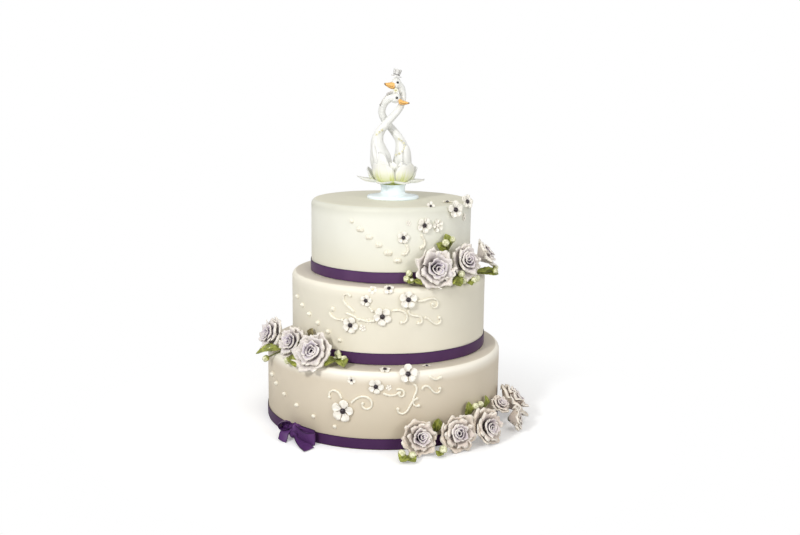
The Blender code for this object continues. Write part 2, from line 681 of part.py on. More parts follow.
def build_lily(shade, parent):
    """Water lily in one piece: flat petals, upright ones as a cup, and a pod for the swans."""
    def ring(radius, height):
        points = []
        for side in range(LILY_SIDES):
            azimuth = 360 * side / LILY_SIDES
            turn = math.radians(azimuth)
            reach, rise = radius(azimuth), height(azimuth)
            spot = (reach * math.sin(turn), -reach * math.cos(turn), LILY_HEIGHT + rise)
            points.append(Vector(spot) * MM)
        return points

    def flat_petals(inset, lift):
        def radius(azimuth):
            reach, _, share = nearest_petal(azimuth, FLAT_PETALS, FLAT_SPREAD)
            return reach * (0.64 + 0.36 * share) - inset

        def height(azimuth):
            _, rise, share = nearest_petal(azimuth, FLAT_PETALS, FLAT_SPREAD)
            return lift + rise * share ** 2
        return ring(radius, height)

    def cup_petals(inset, drop):
        def radius(azimuth):
            reach, _, share = nearest_petal(azimuth, CUP_PETALS, CUP_SPREAD)
            return reach * (0.9 + 0.1 * share) - inset

        def height(azimuth):
            _, rise, share = nearest_petal(azimuth, CUP_PETALS, CUP_SPREAD)
            return CUP_LOW + (rise - CUP_LOW) * share - drop
        return ring(radius, height)

    def round_ring(radius, height):
        return ring(lambda azimuth: radius, lambda azimuth: height)

    rings = [
        round_ring(*LILY_FOOT),
        flat_petals(0.0, 0.3),
        flat_petals(0.4, 1.5),
        round_ring(*LILY_FLOOR),
        round_ring(*CUP_FOOT),
        cup_petals(0.0, 0.0),
        cup_petals(CUP_WALL, 0.2),
        round_ring(*CUP_INSIDE),
        round_ring(POD_RADIUS, POD_TOP),
    ]
    foot = Vector((0, 0, LILY_HEIGHT + LILY_FOOT[1])) * MM
    pod = Vector((0, 0, LILY_HEIGHT + POD_TOP)) * MM
    lily = loft("lily", rings, foot, pod, shade)
    lily.parent = parent
    return lily


def build_swan(name, stations, head, beak, beads, shade, parent):
    """Sugar swan: one tapering body and neck, an oval head, a beak and its small sugar flowers."""
    path = smooth_path(stations, 2)
    body = tube(name, [Vector(point[:3]) * MM for point in path], [point[3] for point in path], 8)
    head_place, head_size = head
    extras = [ball(name + "_head", Vector(head_place) * MM, head_size, 8, 6)]
    beak_root, beak_tip, beak_radius = beak
    start, end = Vector(beak_root), Vector(beak_tip)
    ridge = [point * MM for point in (start, start.lerp(end, 0.5), end)]
    extras.append(tube(name + "_beak", ridge, [beak_radius * share for share in BEAK_TAPER], 6))
    for number, (place, radius) in enumerate(beads):
        extras.append(ball(f"{name}_bead_{number}", Vector(place) * MM, (radius,) * 3, 5, 3))
    swan = finish(fuse(body, extras), shade)
    swan.parent = parent
    return swan


def build_ribbon(name, shade):
    """Flat band round the foot of a tier, a little proud of the icing."""
    tier = TIERS[name]
    low, width = RIBBONS[name]
    inner = tier.radius + GAP
    outer = inner + RIBBON_THICK
    foot = tier.low + low
    profile = [(outer, foot + width), (outer, foot), (inner, foot), (inner, foot + width)]
    turned("ribbon_" + name, profile, shade, SIDES, (tier.shift, 0, 0))


def build_blossoms(tier_name, shade):
    for number, (angle, drop, radius, spin) in enumerate(BLOSSOMS[tier_name], 1):
        rings, back, eye = blossom_rings(tier_name, angle, drop, radius, spin, 15, BLOSSOM_GAP)
        loft(f"blossom_{tier_name}_{number}", rings, back, eye, shade)


def build_rose(name, rose, draw, shade):
    rings, foot, heart = rose_rings(rose, draw)
    flower = loft(name, rings, foot, heart, shade)
    flower.location = around(rose.tier, rose.angle, rose.out, rose.height)
    flower.rotation_euler = facing(rose.azimuth, rose.tilt, rose.spin).to_euler()


def build_spray(name, spray, shade):
    """Leaves and stalked buds that spread from one small knot."""
    angle, out, height = spray.root
    root = around(spray.tier, angle, out, height)
    outward = (around(spray.tier, angle, out + 1, height) - root).normalized()
    extras = []
    for number, (tip, width) in enumerate(spray.leaves):
        lies_flat = tip[2] < height + 4
        face = Vector((0, 0, 1)) + outward * 0.2 if lies_flat else outward + Vector((0, 0, 0.2))
        extras.append(leaf(f"{name}_leaf_{number}", root, around(spray.tier, *tip), width, face))
    for number, (place, radius) in enumerate(spray.buds):
        spot = around(spray.tier, *place)
        extras.append(tube(f"{name}_stem_{number}", [root, spot], [STEM, STEM], 4))
        extras.append(ball(f"{name}_bud_{number}", spot, (radius, radius, radius * 1.1), 5, 3))
    finish(fuse(ball(name, root, (SPRAY_KNOT,) * 3, 5, 3), extras), shade)


for old in list(bpy.data.objects):
    bpy.data.objects.remove(old)

CAKE = bpy.data.collections.new("tiered_wedding_cake")
CUTTERS = bpy.data.collections.new("joined_shapes")
bpy.context.scene.collection.children.link(CAKE)
bpy.context.scene.collection.children.link(CUTTERS)

icing = material("ivory icing", srgb(232, 227, 208), 0.55)
satin = material("purple ribbon", srgb(92, 62, 112), 0.45)
bow_satin = material("dark purple ribbon", srgb(72, 42, 90), 0.45)
rose_sugar = material("lavender sugar", srgb(214, 203, 214), 0.6)
green_sugar = material("olive sugar", srgb(140, 150, 66), 0.6)
white_sugar = material("white sugar", srgb(246, 244, 236), 0.55)
swan_white = material("white glaze", srgb(240, 238, 232), 0.35)
lily_white = material("pale lily sugar", srgb(240, 240, 222), 0.5)
pale_blue = material("pale blue glaze", srgb(214, 232, 240), 0.3)

for tier_name in TIERS:
    build_tier(tier_name, icing)
    build_ribbon(tier_name, satin)
    build_blossoms(tier_name, white_sugar)

dice = random.Random(4)
for rose_name, rose in ROSES.items():
    build_rose(rose_name, rose, dice, rose_sugar)

for spray_name, spray in SPRAYS.items():
    build_spray(spray_name, spray, green_sugar)

build_bow(bow_satin)

topper = bpy.data.objects.new("topper", None)
topper.location = Vector((TOPPER_X, 0, TOPPER_FOOT)) * MM
CAKE.objects.link(topper)

pedestal = turned("pedestal", PEDESTAL, pale_blue, PEDESTAL_SIDES)
pedestal.parent = topper
build_lily(lily_white, topper)
build_swan("swan_groom", GROOM_STATIONS, GROOM_HEAD, GROOM_BEAK, [], swan_white, topper)
build_swan("swan_bride", BRIDE_STATIONS, BRIDE_HEAD, BRIDE_BEAK, BRIDE_BEADS, swan_white, topper)
hat = turned("top_hat", HAT, swan_white, HAT_SIDES, HAT_PLACE)
hat.rotation_euler = (0.0, HAT_LEAN, 0.0)
hat.parent = topper
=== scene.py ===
import random
from collections import namedtuple
from math import atan2, cos, degrees, exp, pi, radians, sin, sqrt, tau

import bmesh
import bpy
from mathutils import Matrix, Vector, noise


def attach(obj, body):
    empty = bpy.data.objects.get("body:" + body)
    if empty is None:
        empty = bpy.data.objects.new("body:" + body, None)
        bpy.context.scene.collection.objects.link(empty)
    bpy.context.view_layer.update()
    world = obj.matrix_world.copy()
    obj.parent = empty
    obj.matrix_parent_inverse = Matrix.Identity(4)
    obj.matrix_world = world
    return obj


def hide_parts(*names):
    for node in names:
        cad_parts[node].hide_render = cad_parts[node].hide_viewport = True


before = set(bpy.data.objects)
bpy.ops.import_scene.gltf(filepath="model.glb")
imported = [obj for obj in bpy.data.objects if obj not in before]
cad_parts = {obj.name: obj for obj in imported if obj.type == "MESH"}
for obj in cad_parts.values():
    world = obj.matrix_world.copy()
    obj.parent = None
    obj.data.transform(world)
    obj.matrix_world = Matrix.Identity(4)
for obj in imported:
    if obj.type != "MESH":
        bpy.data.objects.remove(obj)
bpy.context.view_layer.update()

MM = 0.001
GAP = 0.3  # air between a tier and what lies against it
EDGE = 7.0  # radius of the icing's rounded upper edge
EDGE_STEPS = 8
QUARTER = EDGE * pi / 2  # length of that edge along the skin
TIER_SIDES = 168
WALL_STEPS = 14

Tier = namedtuple("Tier", "radius low high shift")
TIERS = {
    "bottom": Tier(152.4, 0.0, 96.0, 0.0),
    "middle": Tier(125.6, 96.0 + GAP, 191.0, 5.7),
    "top": Tier(103.0, 191.0 + GAP, 284.0, 8.1),
}
RIBBON_THICK = 0.7
RIBBONS = {"bottom": (0.8, 13.4), "middle": (0.8, 14.2), "top": (0.7, 13.8)}
RIBBON_LAP = 7.0  # half of the overlap where the band's ends meet at the back
LAP_SIDES = 14
SOFT = 0.12  # how far the band's face bulges and its edges draw in

PIPE = 1.4  # radius of a piped line
PIPE_OUT = 0.85  # its middle, out from the icing
DOT = 2.8  # radius of a piped dot at its foot
DOT_TALL = 3.9
DOT_SIDES = 10
DOT_PROFILE = ((1.0, -0.1), (1.06, 0.22), (0.9, 0.5), (0.58, 0.76), (0.26, 0.94))  # radius, height

# Piped scrolls: angle, drop below the rounded edge, first heading (0 right, 90 down), length,
# and the bend in degrees per millimetre at the start and at the end
SCROLLS = {
    "top": [
        (10.2, 38.0, 62, 15, 2, 16),
        (20.4, 26.6, 62, 19, -3, 16),
    ],
    "middle": [
        (-34.3, 28.5, 62, 20, -5.5, -2.0),
        (-23.6, 26.2, 5, 17, 2.0, 2.0),
        (-16.0, 31.5, 15, 17, 1.0, -6.0),
        (-19.4, 23.2, -127, 34, -4.7, 16),
        (-10.6, 16.2, 48, 5.5, 1.4, 1.0),
        (2.2, 19.6, -7, 32, 0.7, 11.7),
        (10.8, 19.4, 113, 31, -16.2, 22.8),
        (20.1, 29.9, 11, 31, 7.3, -18.5),
        (15.9, 8.9, 12, 44, -5.2, 18),
    ],
    "bottom": [
        (-18.9, 27.2, -103, 26, -4.0, -10.9),
        (-14.1, 31.4, -50, 52, 1.0, 12.0),
        (0.2, 18.3, 33, 17.5, -3.6, -3.6),
        (6.0, 13.6, -10, 24, 4.0, 24),
        (17.5, 15.2, -93, 33, 18.5, -20.4),
        (13.6, 8.4, 25, 34, 12.0, -15.5),
        (15.3, 25.8, 175, 36, -9.0, 15.5),
        (21.3, 0.9, 54, 15, -5.9, -7.2),
    ],
}

# Trail of piped dots: first and last angle, first and last drop, and how much they draw apart
TRAILS = {
    "top": (-27.7, 4.2, 11.4, 57.1, 1.0),
    "middle": (-65.2, -27.8, 19.8, 60.6, 1.05),
    "bottom": (-66.7, -22.1, 24.1, 64.0, 1.3),
}
TRAIL_DOTS = 6
LONE_DOT = ("middle", -32.3, 23.3, 3.0)

# Blossoms: angle, drop, radius, spin
BLOSSOMS = {
    "top": [(7.8, 28.9, 7.4, 10), (22.2, 14.8, 9.6, 30), (47.2, -1.0, 10.8, 0), (68.0, -6.5, 9.4, 20)],
    "middle": [
        (-12.5, 8.5, 7.2, 15),
        (10.4, 6.7, 10.6, 5),
        (-3.4, 27.2, 11.0, 40),
        (-21.2, 40.0, 10.2, 20),
        (-0.1, -6.5, 6.6, 0),
    ],
    "bottom": [(-18.1, 42.8, 13.4, 12), (10.9, -4.2, 11.4, 3), (-3.3, 10.2, 9.0, 25), (0.7, -12.5, 6.8, 0)],
}
PETALS = 5
# Blossoms that stand off the icing like a flat flower: azimuth and tilt they face, and how far out
STANDING = {
    "blossom_top_3": (33, 10, 2.6),
    "blossom_top_4": (42, 20, 2.4),
    "blossom_middle_2": (10.4, 8, 1.2),
    "blossom_bottom_2": (10.9, 20, 0.8),
    "button_top_1": (24, 16, 0.8),
}

# Small blossoms on the icing: angle, drop, radius, and the colour of the centre
BUTTONS = {
    "top": [
        (28.3, -9.0, 5.6, "dark"),
        (58.0, -25.0, 7.0, "dark"),
        (32.6, 16.0, 8.0, "white"),
        (11.2, 11.4, 3.4, "white"),
        (61.0, 10.0, 5.0, "white"),
    ],
    "middle": [
        (-9.0, -5.0, 5.4, "cream"),
        (-14.2, 42.0, 4.6, "white"),
        (-10.7, 33.0, 4.0, "cream"),
    ],
    "bottom": [(-14.2, 3.9, 5.4, "dark"), (22.5, -21.0, 5.2, "dark"), (2.4, 11.0, 3.8, "white")],
}

Rose = namedtuple("Rose", "tier angle out height azimuth tilt spin radius depth")
ROSES = {  # place of the heart, the way it faces, and its size
    "rose_upper_1": Rose("top", 25.2, 21.5, 213.2, 14, 22, 10, 24.5, 18.0),
    "rose_upper_2": Rose("top", 49.2, 21.0, 216.0, 33, 22, 50, 20.5, 16.0),
    "rose_upper_3": Rose("top", 78.0, 23.0, 218.0, 92, 38, 20, 17.5, 15.0),
    "rose_left_1": Rose("middle", -36.4, 29.4, 113.4, -25, 30, 25, 23.0, 16.0),
    "rose_left_2": Rose("middle", -54.8, 21.0, 114.2, -42, 28, 60, 19.5, 15.0),
    "rose_left_3": Rose("middle", -73.0, 32.0, 114.0, -60, 24, 5, 21.5, 17.0),
    "rose_lower_1": Rose("bottom", 14.6, 21.5, 21.8, 9, 18, 40, 20.5, 16.0),
    "rose_lower_2": Rose("bottom", 30.2, 27.5, 22.4, 22, 16, 15, 22.0, 17.0),
    "rose_lower_3": Rose("bottom", 44.8, 30.0, 22.2, 42, 20, 65, 22.0, 17.0),
    "rose_lower_4": Rose("bottom", 64.0, 37.0, 16.4, 84, 6, 30, 15.5, 13.0),
    "rose_lower_5": Rose("bottom", 77.0, 23.5, 28.8, 95, 42, 0, 24.5, 17.0),
    "rose_lower_6": Rose("bottom", 62.0, 16.0, 34.0, 45, 50, 10, 13.0, 13.0),
}

# Rings of petals from the outside in: count, half width in degrees, ruffle, spiral, and the
# profile from foot to curled rim, as shares of the radius, or of the depth where it is negative
Layer = namedtuple("Layer", "count half ruffle spiral profile")
ROSE_LAYERS = [
    Layer(5, 45, 0.165, 0.00,
          [(0.16, -0.92), (0.46, -0.60), (0.75, -0.26), (0.92, -0.03), (1.00, -0.05), (0.98, -0.22)]),
    Layer(5, 42, 0.120, 0.04,
          [(0.14, -0.72), (0.32, -0.36), (0.52, 0.00), (0.66, 0.16), (0.75, 0.15), (0.77, 0.03)]),
    Layer(4, 54, 0.065, 0.08,
          [(0.12, -0.60), (0.21, -0.20), (0.31, 0.10), (0.39, 0.24), (0.46, 0.28), (0.49, 0.21)]),
    Layer(3, 72, 0.025, 0.13,
          [(0.08, -0.50), (0.14, -0.10), (0.19, 0.12), (0.23, 0.26), (0.265, 0.30), (0.29, 0.27)]),
    Layer(2, 100, 0.010, 0.25,
          [(0.04, -0.30), (0.07, 0.02), (0.095, 0.14), (0.11, 0.24), (0.125, 0.28), (0.14, 0.26)]),
]
PETAL_ROWS = 12
PETAL_COLUMNS = 17
PETAL_THICK = 0.75
BLOSSOM_THICK = 0.7
BLOSSOM_ROWS = 6
BLOSSOM_COLUMNS = 9

# Leaf and bud sprays, as places round a tier: angle, out from the wall, height.
# All leaves and stems start at the root; each leaf is tip, width and each bud is place, radius
Spray = namedtuple("Spray", "tier root leaves buds")
SPRAYS = {
    "sprig_upper_1": Spray("top", (39.5, 4.2, 230), [((38, 3.4, 250.5), 13), ((30.5, 4.2, 240), 10)],
                           [((35.6, 9.5, 240.5), 4.2), ((42.6, 7, 243), 3.6)]),
    "sprig_upper_2": Spray("top", (15.0, 7, 196), [((9.8, 15, 193.8), 9), ((16.5, 24, 193.4), 12)],
                           [((11.2, 8.5, 206), 3.8), ((9.6, 8, 199.5), 3.8), ((12.6, 10, 197.0), 3.2)]),
    "sprig_upper_3": Spray("top", (38.2, 16, 198), [((38.2, 33, 189), 13), ((31.5, 34, 192.4), 13)],
                           [((44.2, 23, 194), 4.2), ((41.2, 26, 203.5), 4.0)]),
    "sprig_upper_4": Spray("top", (52.5, 14, 195), [((46.5, 33, 187.5), 10)],
                           [((56, 25, 193.5), 4.2), ((49.8, 30, 194.0), 3.8)]),
    "sprig_upper_5": Spray("top", (66.5, 14, 194.5), [((73, 40, 192), 12)],
                           [((77, 34, 194.5), 3.6), ((79, 34, 199.0), 3.2), ((71, 36, 198.0), 3.2)]),
    "sprig_left_1": Spray("middle", (-27.0, 6, 100), [((-20.2, 26, 98), 12), ((-29, 31, 97.6), 10)],
                          [((-27.4, 6.5, 108.5), 3.9), ((-23.2, 9, 104.2), 3.6),
                           ((-28.2, 10, 102.6), 2.9), ((-25.4, 11, 106.4), 2.7)]),
    "sprig_left_2": Spray("middle", (-62, 25, 98.6), [((-69.0, 53, 91), 10)], [((-66.8, 42, 87), 4.0)]),
    "sprig_left_3": Spray("middle", (-50, 26, 99), [((-42.5, 39, 91), 11)], [((-48.6, 37, 96.5), 4.3)]),
    "sprig_left_4": Spray("middle", (-47.5, 3.2, 118), [((-46, 4, 133), 10)], []),
    "sprig_lower_1": Spray("bottom", (9.0, 31, 2.6), [((6.0, 45, 1.8), 12), ((10.8, 48, 2.0), 10)],
                           [((6.8, 33, 8.5), 4.4), ((10.4, 38, 8), 4.2)]),
    "sprig_lower_2": Spray("bottom", (23.6, 3.6, 20), [((25.2, 3.4, 36), 11)], []),
    "sprig_lower_3": Spray("bottom", (40.8, 4.2, 30), [((41.8, 3.6, 49), 10)], [((44.4, 8.5, 42.5), 4.2)]),
    "sprig_lower_4": Spray("bottom", (52.8, 4.2, 33), [((54.5, 3.6, 49), 9)], [((49.4, 6, 41.5), 3.6)]),
    "sprig_lower_5": Spray("bottom", (22.3, 30, 2.6), [((19.8, 37, 1.8), 8)], [((22.4, 33, 8.6), 4.6)]),
}
DRY_SPRIGS = ("sprig_left_4",)  # its leaf has gone brown
LEAF_TEETH = 6
LEAF_ROWS = 19
LEAF_COLUMNS = 9
LEAF_THICK = 0.5
STEM = 0.7
SPRAY_KNOT = 1.7

# Bow on the bottom ribbon, in millimetres along it, out from it and up
BOW_ANGLE = -42.0
BOW_OUT = 5.8
BOW_HEIGHT = 11.8
BOW_THICK = 0.8
BOW_COLUMNS = 21
LOOP_STEPS = 40
TAIL_STEPS = 18
BOW_GATHERS = [  # place, half sizes
    ((0, 2.4, 0), (8.8, 10.0, 5.4)), ((-8.5, 3.0, 1.5), (6.5, 7.0, 3.6)),
    ((-13.0, 4.4, 5.0), (7.0, 5.2, 3.6)),
]
BOW_STRIPS = {  # places, directions of the width, widths; the loops end where they start
    "right loop": (
        [(1, 2.4, 2), (10, 5.8, 0.5), (21, 6.8, -2.2), (30, 5.2, -3.4), (33, 0.8, -3.4), (28, -3.2, -2.6),
         (13, -2.4, -0.5), (1, -1.2, 1.5)],
        [(0, 0.1, 1), (0, 0.25, 1), (0, 0.4, 1), (0, 0.3, 1), (0, 0.1, 1), (0, -0.1, 1), (0, 0, 1),
         (0, 0, 1)],
        [11.0, 15.0, 17.5, 17.5, 17.0, 16.5, 14.0, 11.0],
    ),
    "left loop": (
        [(-1, 2, 4.5), (-8, 5, 9.2), (-15.5, 9, 9.4), (-19.0, 11.0, 4.6), (-14.5, 9.4, 0.4),
         (-8.0, 6.5, 0.8), (-1, 2, 1)],
        [(0.3, 0.5, 1), (0.6, 0.8, 0.5), (0.6, 0.8, 0.15), (0.6, 0.8, 0.1), (0.6, 0.8, 0.0),
         (0.6, 0.8, 0.2), (0.3, 0.5, 1)],
        [10.0, 14.0, 15.0, 15.0, 14.0, 12.0, 9.0],
    ),
    "right tail": (
        [(2.0, 1.5, -3.5), (12.0, 5.5, -8.6), (25.0, 10.4, -10.4), (39.0, 15.5, -10.6)],
        [(-0.3, 0.9, 0.3), (-0.3, 1.0, 0.1), (-0.2, 1.0, 0.0), (0.05, 1.0, 0.0)],
        [10.0, 12.5, 15.0, 17.0],
    ),
    "left tail": (
        [(-2.0, 3.0, -1.0), (-6.0, 9.5, 0.6), (-6.6, 13.8, -2.4), (-5.4, 18.4, -11.0)],
        [(1.0, -0.2, 0.2), (0.9, -0.4, 0.0), (0.85, -0.3, -0.15), (0.9, -0.1, -0.25)],
        [10.0, 11.0, 12.0, 13.0],
    ),
}
BOW_CREASES = (-0.5, -0.15, 0.3)  # where the ribbon is gathered into folds by the knot

# Topper, measured from the middle of the icing under it
TOPPER = Vector((10.0, 0.0, 284.0 + GAP))
PEDESTAL_SIDES = 72
PEDESTAL = [  # radius, height
    (0, 18.0), (16.0, 18.0), (16.7, 17.8), (16.9, 17.2), (16.4, 16.4), (15.6, 15.6), (15.35, 12.0),
    (15.4, 9.0), (15.9, 7.4), (17.4, 6.3), (20.5, 5.5), (25.0, 4.7), (29.0, 4.1), (32.2, 3.5),
    (33.2, 2.6), (33.4, 1.2), (33.1, 0.0), (0, 0.0),
]
LILY_HEIGHT = 18.6
LILY_THICK = 0.9
LILY_ROWS = 14
LILY_COLUMNS = 11
FLAT_PETALS = [  # azimuth, reach, rise of the tip
    (-91, 46, 8.0), (-32, 36, 2.6), (31, 36, 2.4), (88, 40, 4.5), (147, 37, 5.5), (-149, 38, 6.0),
]
CUP_PETALS = [(-33, 31.5, 29), (42, 30.0, 27), (105, 30.5, 20), (-105, 33.5, 19), (175, 28.0, 26)]
INNER_PETALS = [  # azimuth, half width, (reach, height) from foot to tip, green, point, bluntness
    (-43, 15.0, [(9, 3.0), (20, 8), (26, 22), (25.5, 40.5)], 0.35, 1.5, 0.76),
    (-4, 12.0, [(9, 3.0), (18, 8), (22, 19), (21.5, 29)], 0.8, 1.2, 0.8),
    (36, 13.0, [(8, 3.0), (16, 8), (20, 18), (19, 29)], 0.6, 1.1, 0.8),
]
INNER_PETALS += [(5 + 72 * number, 10.0, [(9, 2.5), (16, 5), (20, 11), (20.5, 17.5)], 0.8, 1.2, 0.84)
                 for number in range(5)]
POD_SIDES = 40
POD = [  # radius, height
    (0, 7.0), (5, 6.9), (9.4, 6.4), (10.8, 5.0), (12, 2.4), (14.0, 0.6), (14.0, -0.25), (0, -0.25),
]
HAT_SIDES = 32
HAT_LEAN = radians(14)
HAT_PLACE = Vector((2.4, -0.5, 153.6))
HAT = [  # radius, height
    (0, 9.4), (4.5, 9.5), (4.95, 9.3), (4.9, 8.2), (4.5, 5.4), (4.1, 2.6), (4.0, 1.5),
    (4.6, 1.0), (6.3, 1.25), (6.8, 1.0), (6.8, 0.3), (6.0, 0.0), (0, 0),
]
HAT_SEAM = [(4.2, 3.6), (4.5, 5.4), (4.85, 8.0), (4.9, 9.0)]
HAT_BAND = [(4.2, 3.3), (4.45, 3.1), (4.3, 1.9), (4.0, 1.8)]
# Swans as stations from tail to crown: right, back, up, radius
GROOM_STATIONS = [
    (-12.5, -5.0, 26.2, 9.5),
    (-14.5, -5.0, 38.0, 12.5),
    (-16.4, -5.0, 51.0, 13.6),
    (-19.0, -5.2, 62.0, 10.6),
    (-20.6, -5.6, 73.0, 8.0),
    (-17.5, -6.2, 84.5, 6.3),
    (-8.0, -6.4, 96.5, 5.1),
    (2.5, -4.0, 108.0, 4.5),
    (9.2, 1.5, 117.5, 4.3),
    (11.4, 5.0, 128.5, 4.3),
    (9.0, 4.0, 139.5, 4.8),
    (4.2, 1.0, 145.0, 5.2),
]
BRIDE_STATIONS = [
    (11.0, 7.5, 26.2, 8.6),
    (12.0, 7.5, 35.0, 11.2),
    (11.8, 7.0, 48.0, 11.8),
    (11.3, 7.0, 62.0, 9.0),
    (7.8, 7.2, 74.5, 6.2),
    (-0.5, 7.4, 86.0, 5.2),
    (-10.0, 7.0, 97.0, 4.8),
    (-15.2, 4.0, 108.5, 4.7),
    (-12.8, 0.0, 118.5, 4.6),
    (-7.0, -3.0, 125.6, 5.0),
    (-0.5, -4.6, 127.6, 5.4),
]
GROOM_WINGS = [  # upper end, lower end, half width, half thickness
    ((-25.0, -9.5, 72.0), (-17.0, -14.0, 34.0), 7.5, 3.6),
    ((-26.0, 1.0, 72.0), (-19.0, 5.5, 34.0), 7.5, 3.6),
    ((-12.0, -15.5, 58.0), (-11.0, -14.5, 36.0), 6.0, 3.0),
    ((-11.0, -4.0, 58.0), (-6.0, -4.0, 28.0), 9.0, 8.0),
]
BRIDE_WINGS = [
    ((17.0, -0.5, 68.0), (19.0, -2.5, 34.0), 6.8, 3.4),
    ((17.0, 14.5, 68.0), (18.0, 16.0, 34.0), 6.8, 3.4),
    ((8.0, 5.0, 57.0), (5.0, 5.0, 28.0), 8.5, 8.0),
]
SWAN_STEPS = 70
SWAN_SIDES = 28
MELT = 0.65  # grid on which a swan's solids become one body
BEAK_STEPS = 12
BEAK_SIDES = 14
VEIL_THICK = 0.5
VEIL_STEPS = 15
GROOM_HEAD = ((2.6, 0.0, 145.6), (6.3, 5.0, 7.2))  # middle, half sizes
GROOM_BEAK = ((0.5, -0.6, 142.6), (-12.2, -1.6, 144.4), 4.8)  # root, tip, radius
GROOM_EYE = (4.4, 146.3)  # right, up
BRIDE_HEAD = ((1.8, -5.0, 126.9), (6.8, 5.2, 6.5))
BRIDE_BEAK = ((6.0, -6.0, 123.2), (19.4, -7.4, 120.9), 3.5)
BRIDE_EYE = (3.5, 127.3)
HAIR_FLOWER = (2.1, -7.8, 136.4)
BREAST_FLOWERS = ((-21.4, -12.4, 81.4), (-18.2, -13.2, 84.6), (-14.6, -12.8, 87.0))
GARLAND = [
    (6.6, -0.4, 75.5), (10.2, -1.0, 73.4), (13.2, -0.9, 70.4), (14.9, -2.0, 66.6), (14.2, -3.6, 63.0),
    (11.2, -4.4, 60.0), (7.4, -3.6, 57.4), (3.4, -1.4, 55.4),
]
VEIL = [(-2.0, -6.4, 133.8), (-7.4, -5.8, 131.4), (-12.6, -4.6, 126.6), (-18.0, -2.0, 117.5)]

# The camera that the photograph was fitted with, the floor and the lights, in metres
CAMERA_PLACE = Vector((0.0, -1.223, 0.421))
CAMERA_PITCH = radians(10.57)
CAMERA_ROLL = radians(0.72)
CAMERA_YAW = radians(0.954)
CAMERA_LENS = 42.75
SENSOR_WIDTH = 36
FAR_END = 50  # how far the camera sees
FLOOR_HALF = 9
LIGHTS = {  # place, width and power of each soft square light
    "key": ((-0.95, -1.5, 1.2), 0.25, 19),
    "fill": ((1.3, -1.6, 0.8), 0.8, 10),
    "above": ((0.15, -0.9, 1.7), 0.5, 2.5),
    "back_left": ((-1.2, 1.5, 1.2), 0.9, 3),
    "back_right": ((1.2, 1.5, 1.2), 0.9, 3),
}
LOOKED_AT = Vector((0, 0, 0.2))  # where the lights point
ROOM_LIGHT = 0.53  # of the white room, which the camera sees as plain white


def srgb(red, green, blue):
    """Colour picked on screen, 0 to 255, as the linear values a material takes."""
    def linear(value):
        value /= 255
        return value / 12.92 if value <= 0.04045 else ((value + 0.055) / 1.055) ** 2.4
    return (linear(red), linear(green), linear(blue), 1.0)


class Wire:
    """Output of a shader node. Python's operators on it add Math nodes."""

    def __init__(self, shade, socket):
        self.shade = shade
        self.socket = socket

    def math(self, operation, *others, flip=False):
        terms = [self, *others]
        if flip:
            terms.reverse()
        return self.shade.node("ShaderNodeMath", {"operation": operation}, dict(enumerate(terms)))

    def __add__(self, other):
        return self.math("ADD", other)

    def __sub__(self, other):
        return self.math("SUBTRACT", other)

    def __mul__(self, other):
        return self.math("MULTIPLY", other)

    def __rsub__(self, other):
        return self.math("SUBTRACT", other, flip=True)

    __radd__ = __add__
    __rmul__ = __mul__


class Shade:
    """One material. Its constants go straight on the shader, its nodes come from node()."""

    def __init__(self, name, **constants):
        self.material = bpy.data.materials.new(name)
        self.material.use_nodes = True
        self.tree = self.material.node_tree
        self.shader = self.tree.nodes["Principled BSDF"]
        for key, value in constants.items():
            socket = key.replace("_", " ").title().replace("Ior", "IOR")
            self.shader.inputs[socket].default_value = value

    def node(self, kind, settings=None, values=None, out=0):
        made = self.tree.nodes.new(kind)
        for key, value in (settings or {}).items():
            setattr(made, key, value)
        for key, value in (values or {}).items():
            if isinstance(value, Wire):
                self.tree.links.new(value.socket, made.inputs[key])
            else:
                made.inputs[key].default_value = value
        return Wire(self, made.outputs[out])

    def mark(self, name):
        return self.node("ShaderNodeAttribute", {"attribute_name": name}, out="Fac")

    def place(self):
        return self.node("ShaderNodeTexCoord", out="Object")

    def noise(self, scale, detail=2.0, stretch=(1, 1, 1)):
        place = self.node("ShaderNodeVectorMath", {"operation": "MULTIPLY"}, {0: self.place(), 1: stretch})
        return self.node("ShaderNodeTexNoise", None, {"Vector": place, "Scale": scale, "Detail": detail})

    def step(self, value, low, high):
        """Smooth rise from 0 to 1 as a value goes from low to high."""
        return self.node("ShaderNodeMapRange", {"interpolation_type": "SMOOTHSTEP"},
                         {"Value": value, "From Min": low, "From Max": high})

    def patches(self, low, high, *kind):
        """Noise as patches with soft edges."""
        return self.step(self.noise(*kind), low, high)

    def streaks(self, across, along):
        """Noise over two marks of a petal, drawn out along it."""
        place = self.node("ShaderNodeCombineXYZ", None, {0: across, 1: along})
        return self.node("ShaderNodeTexNoise", {"noise_dimensions": "2D"},
                         {"Vector": place, "Scale": 1.0, "Detail": 3.0})

    def mix(self, share, first, second):
        return self.node("ShaderNodeMix", {"data_type": "RGBA"}, {0: share, 6: first, 7: second}, out=2)

    def bump(self, height, strength, distance):
        normal = self.node("ShaderNodeBump", None,
                           {"Height": height, "Strength": strength, "Distance": distance * MM})
        self.feed("Normal", normal)

    def feed(self, socket, wire):
        self.tree.links.new(wire.socket, self.shader.inputs[socket])


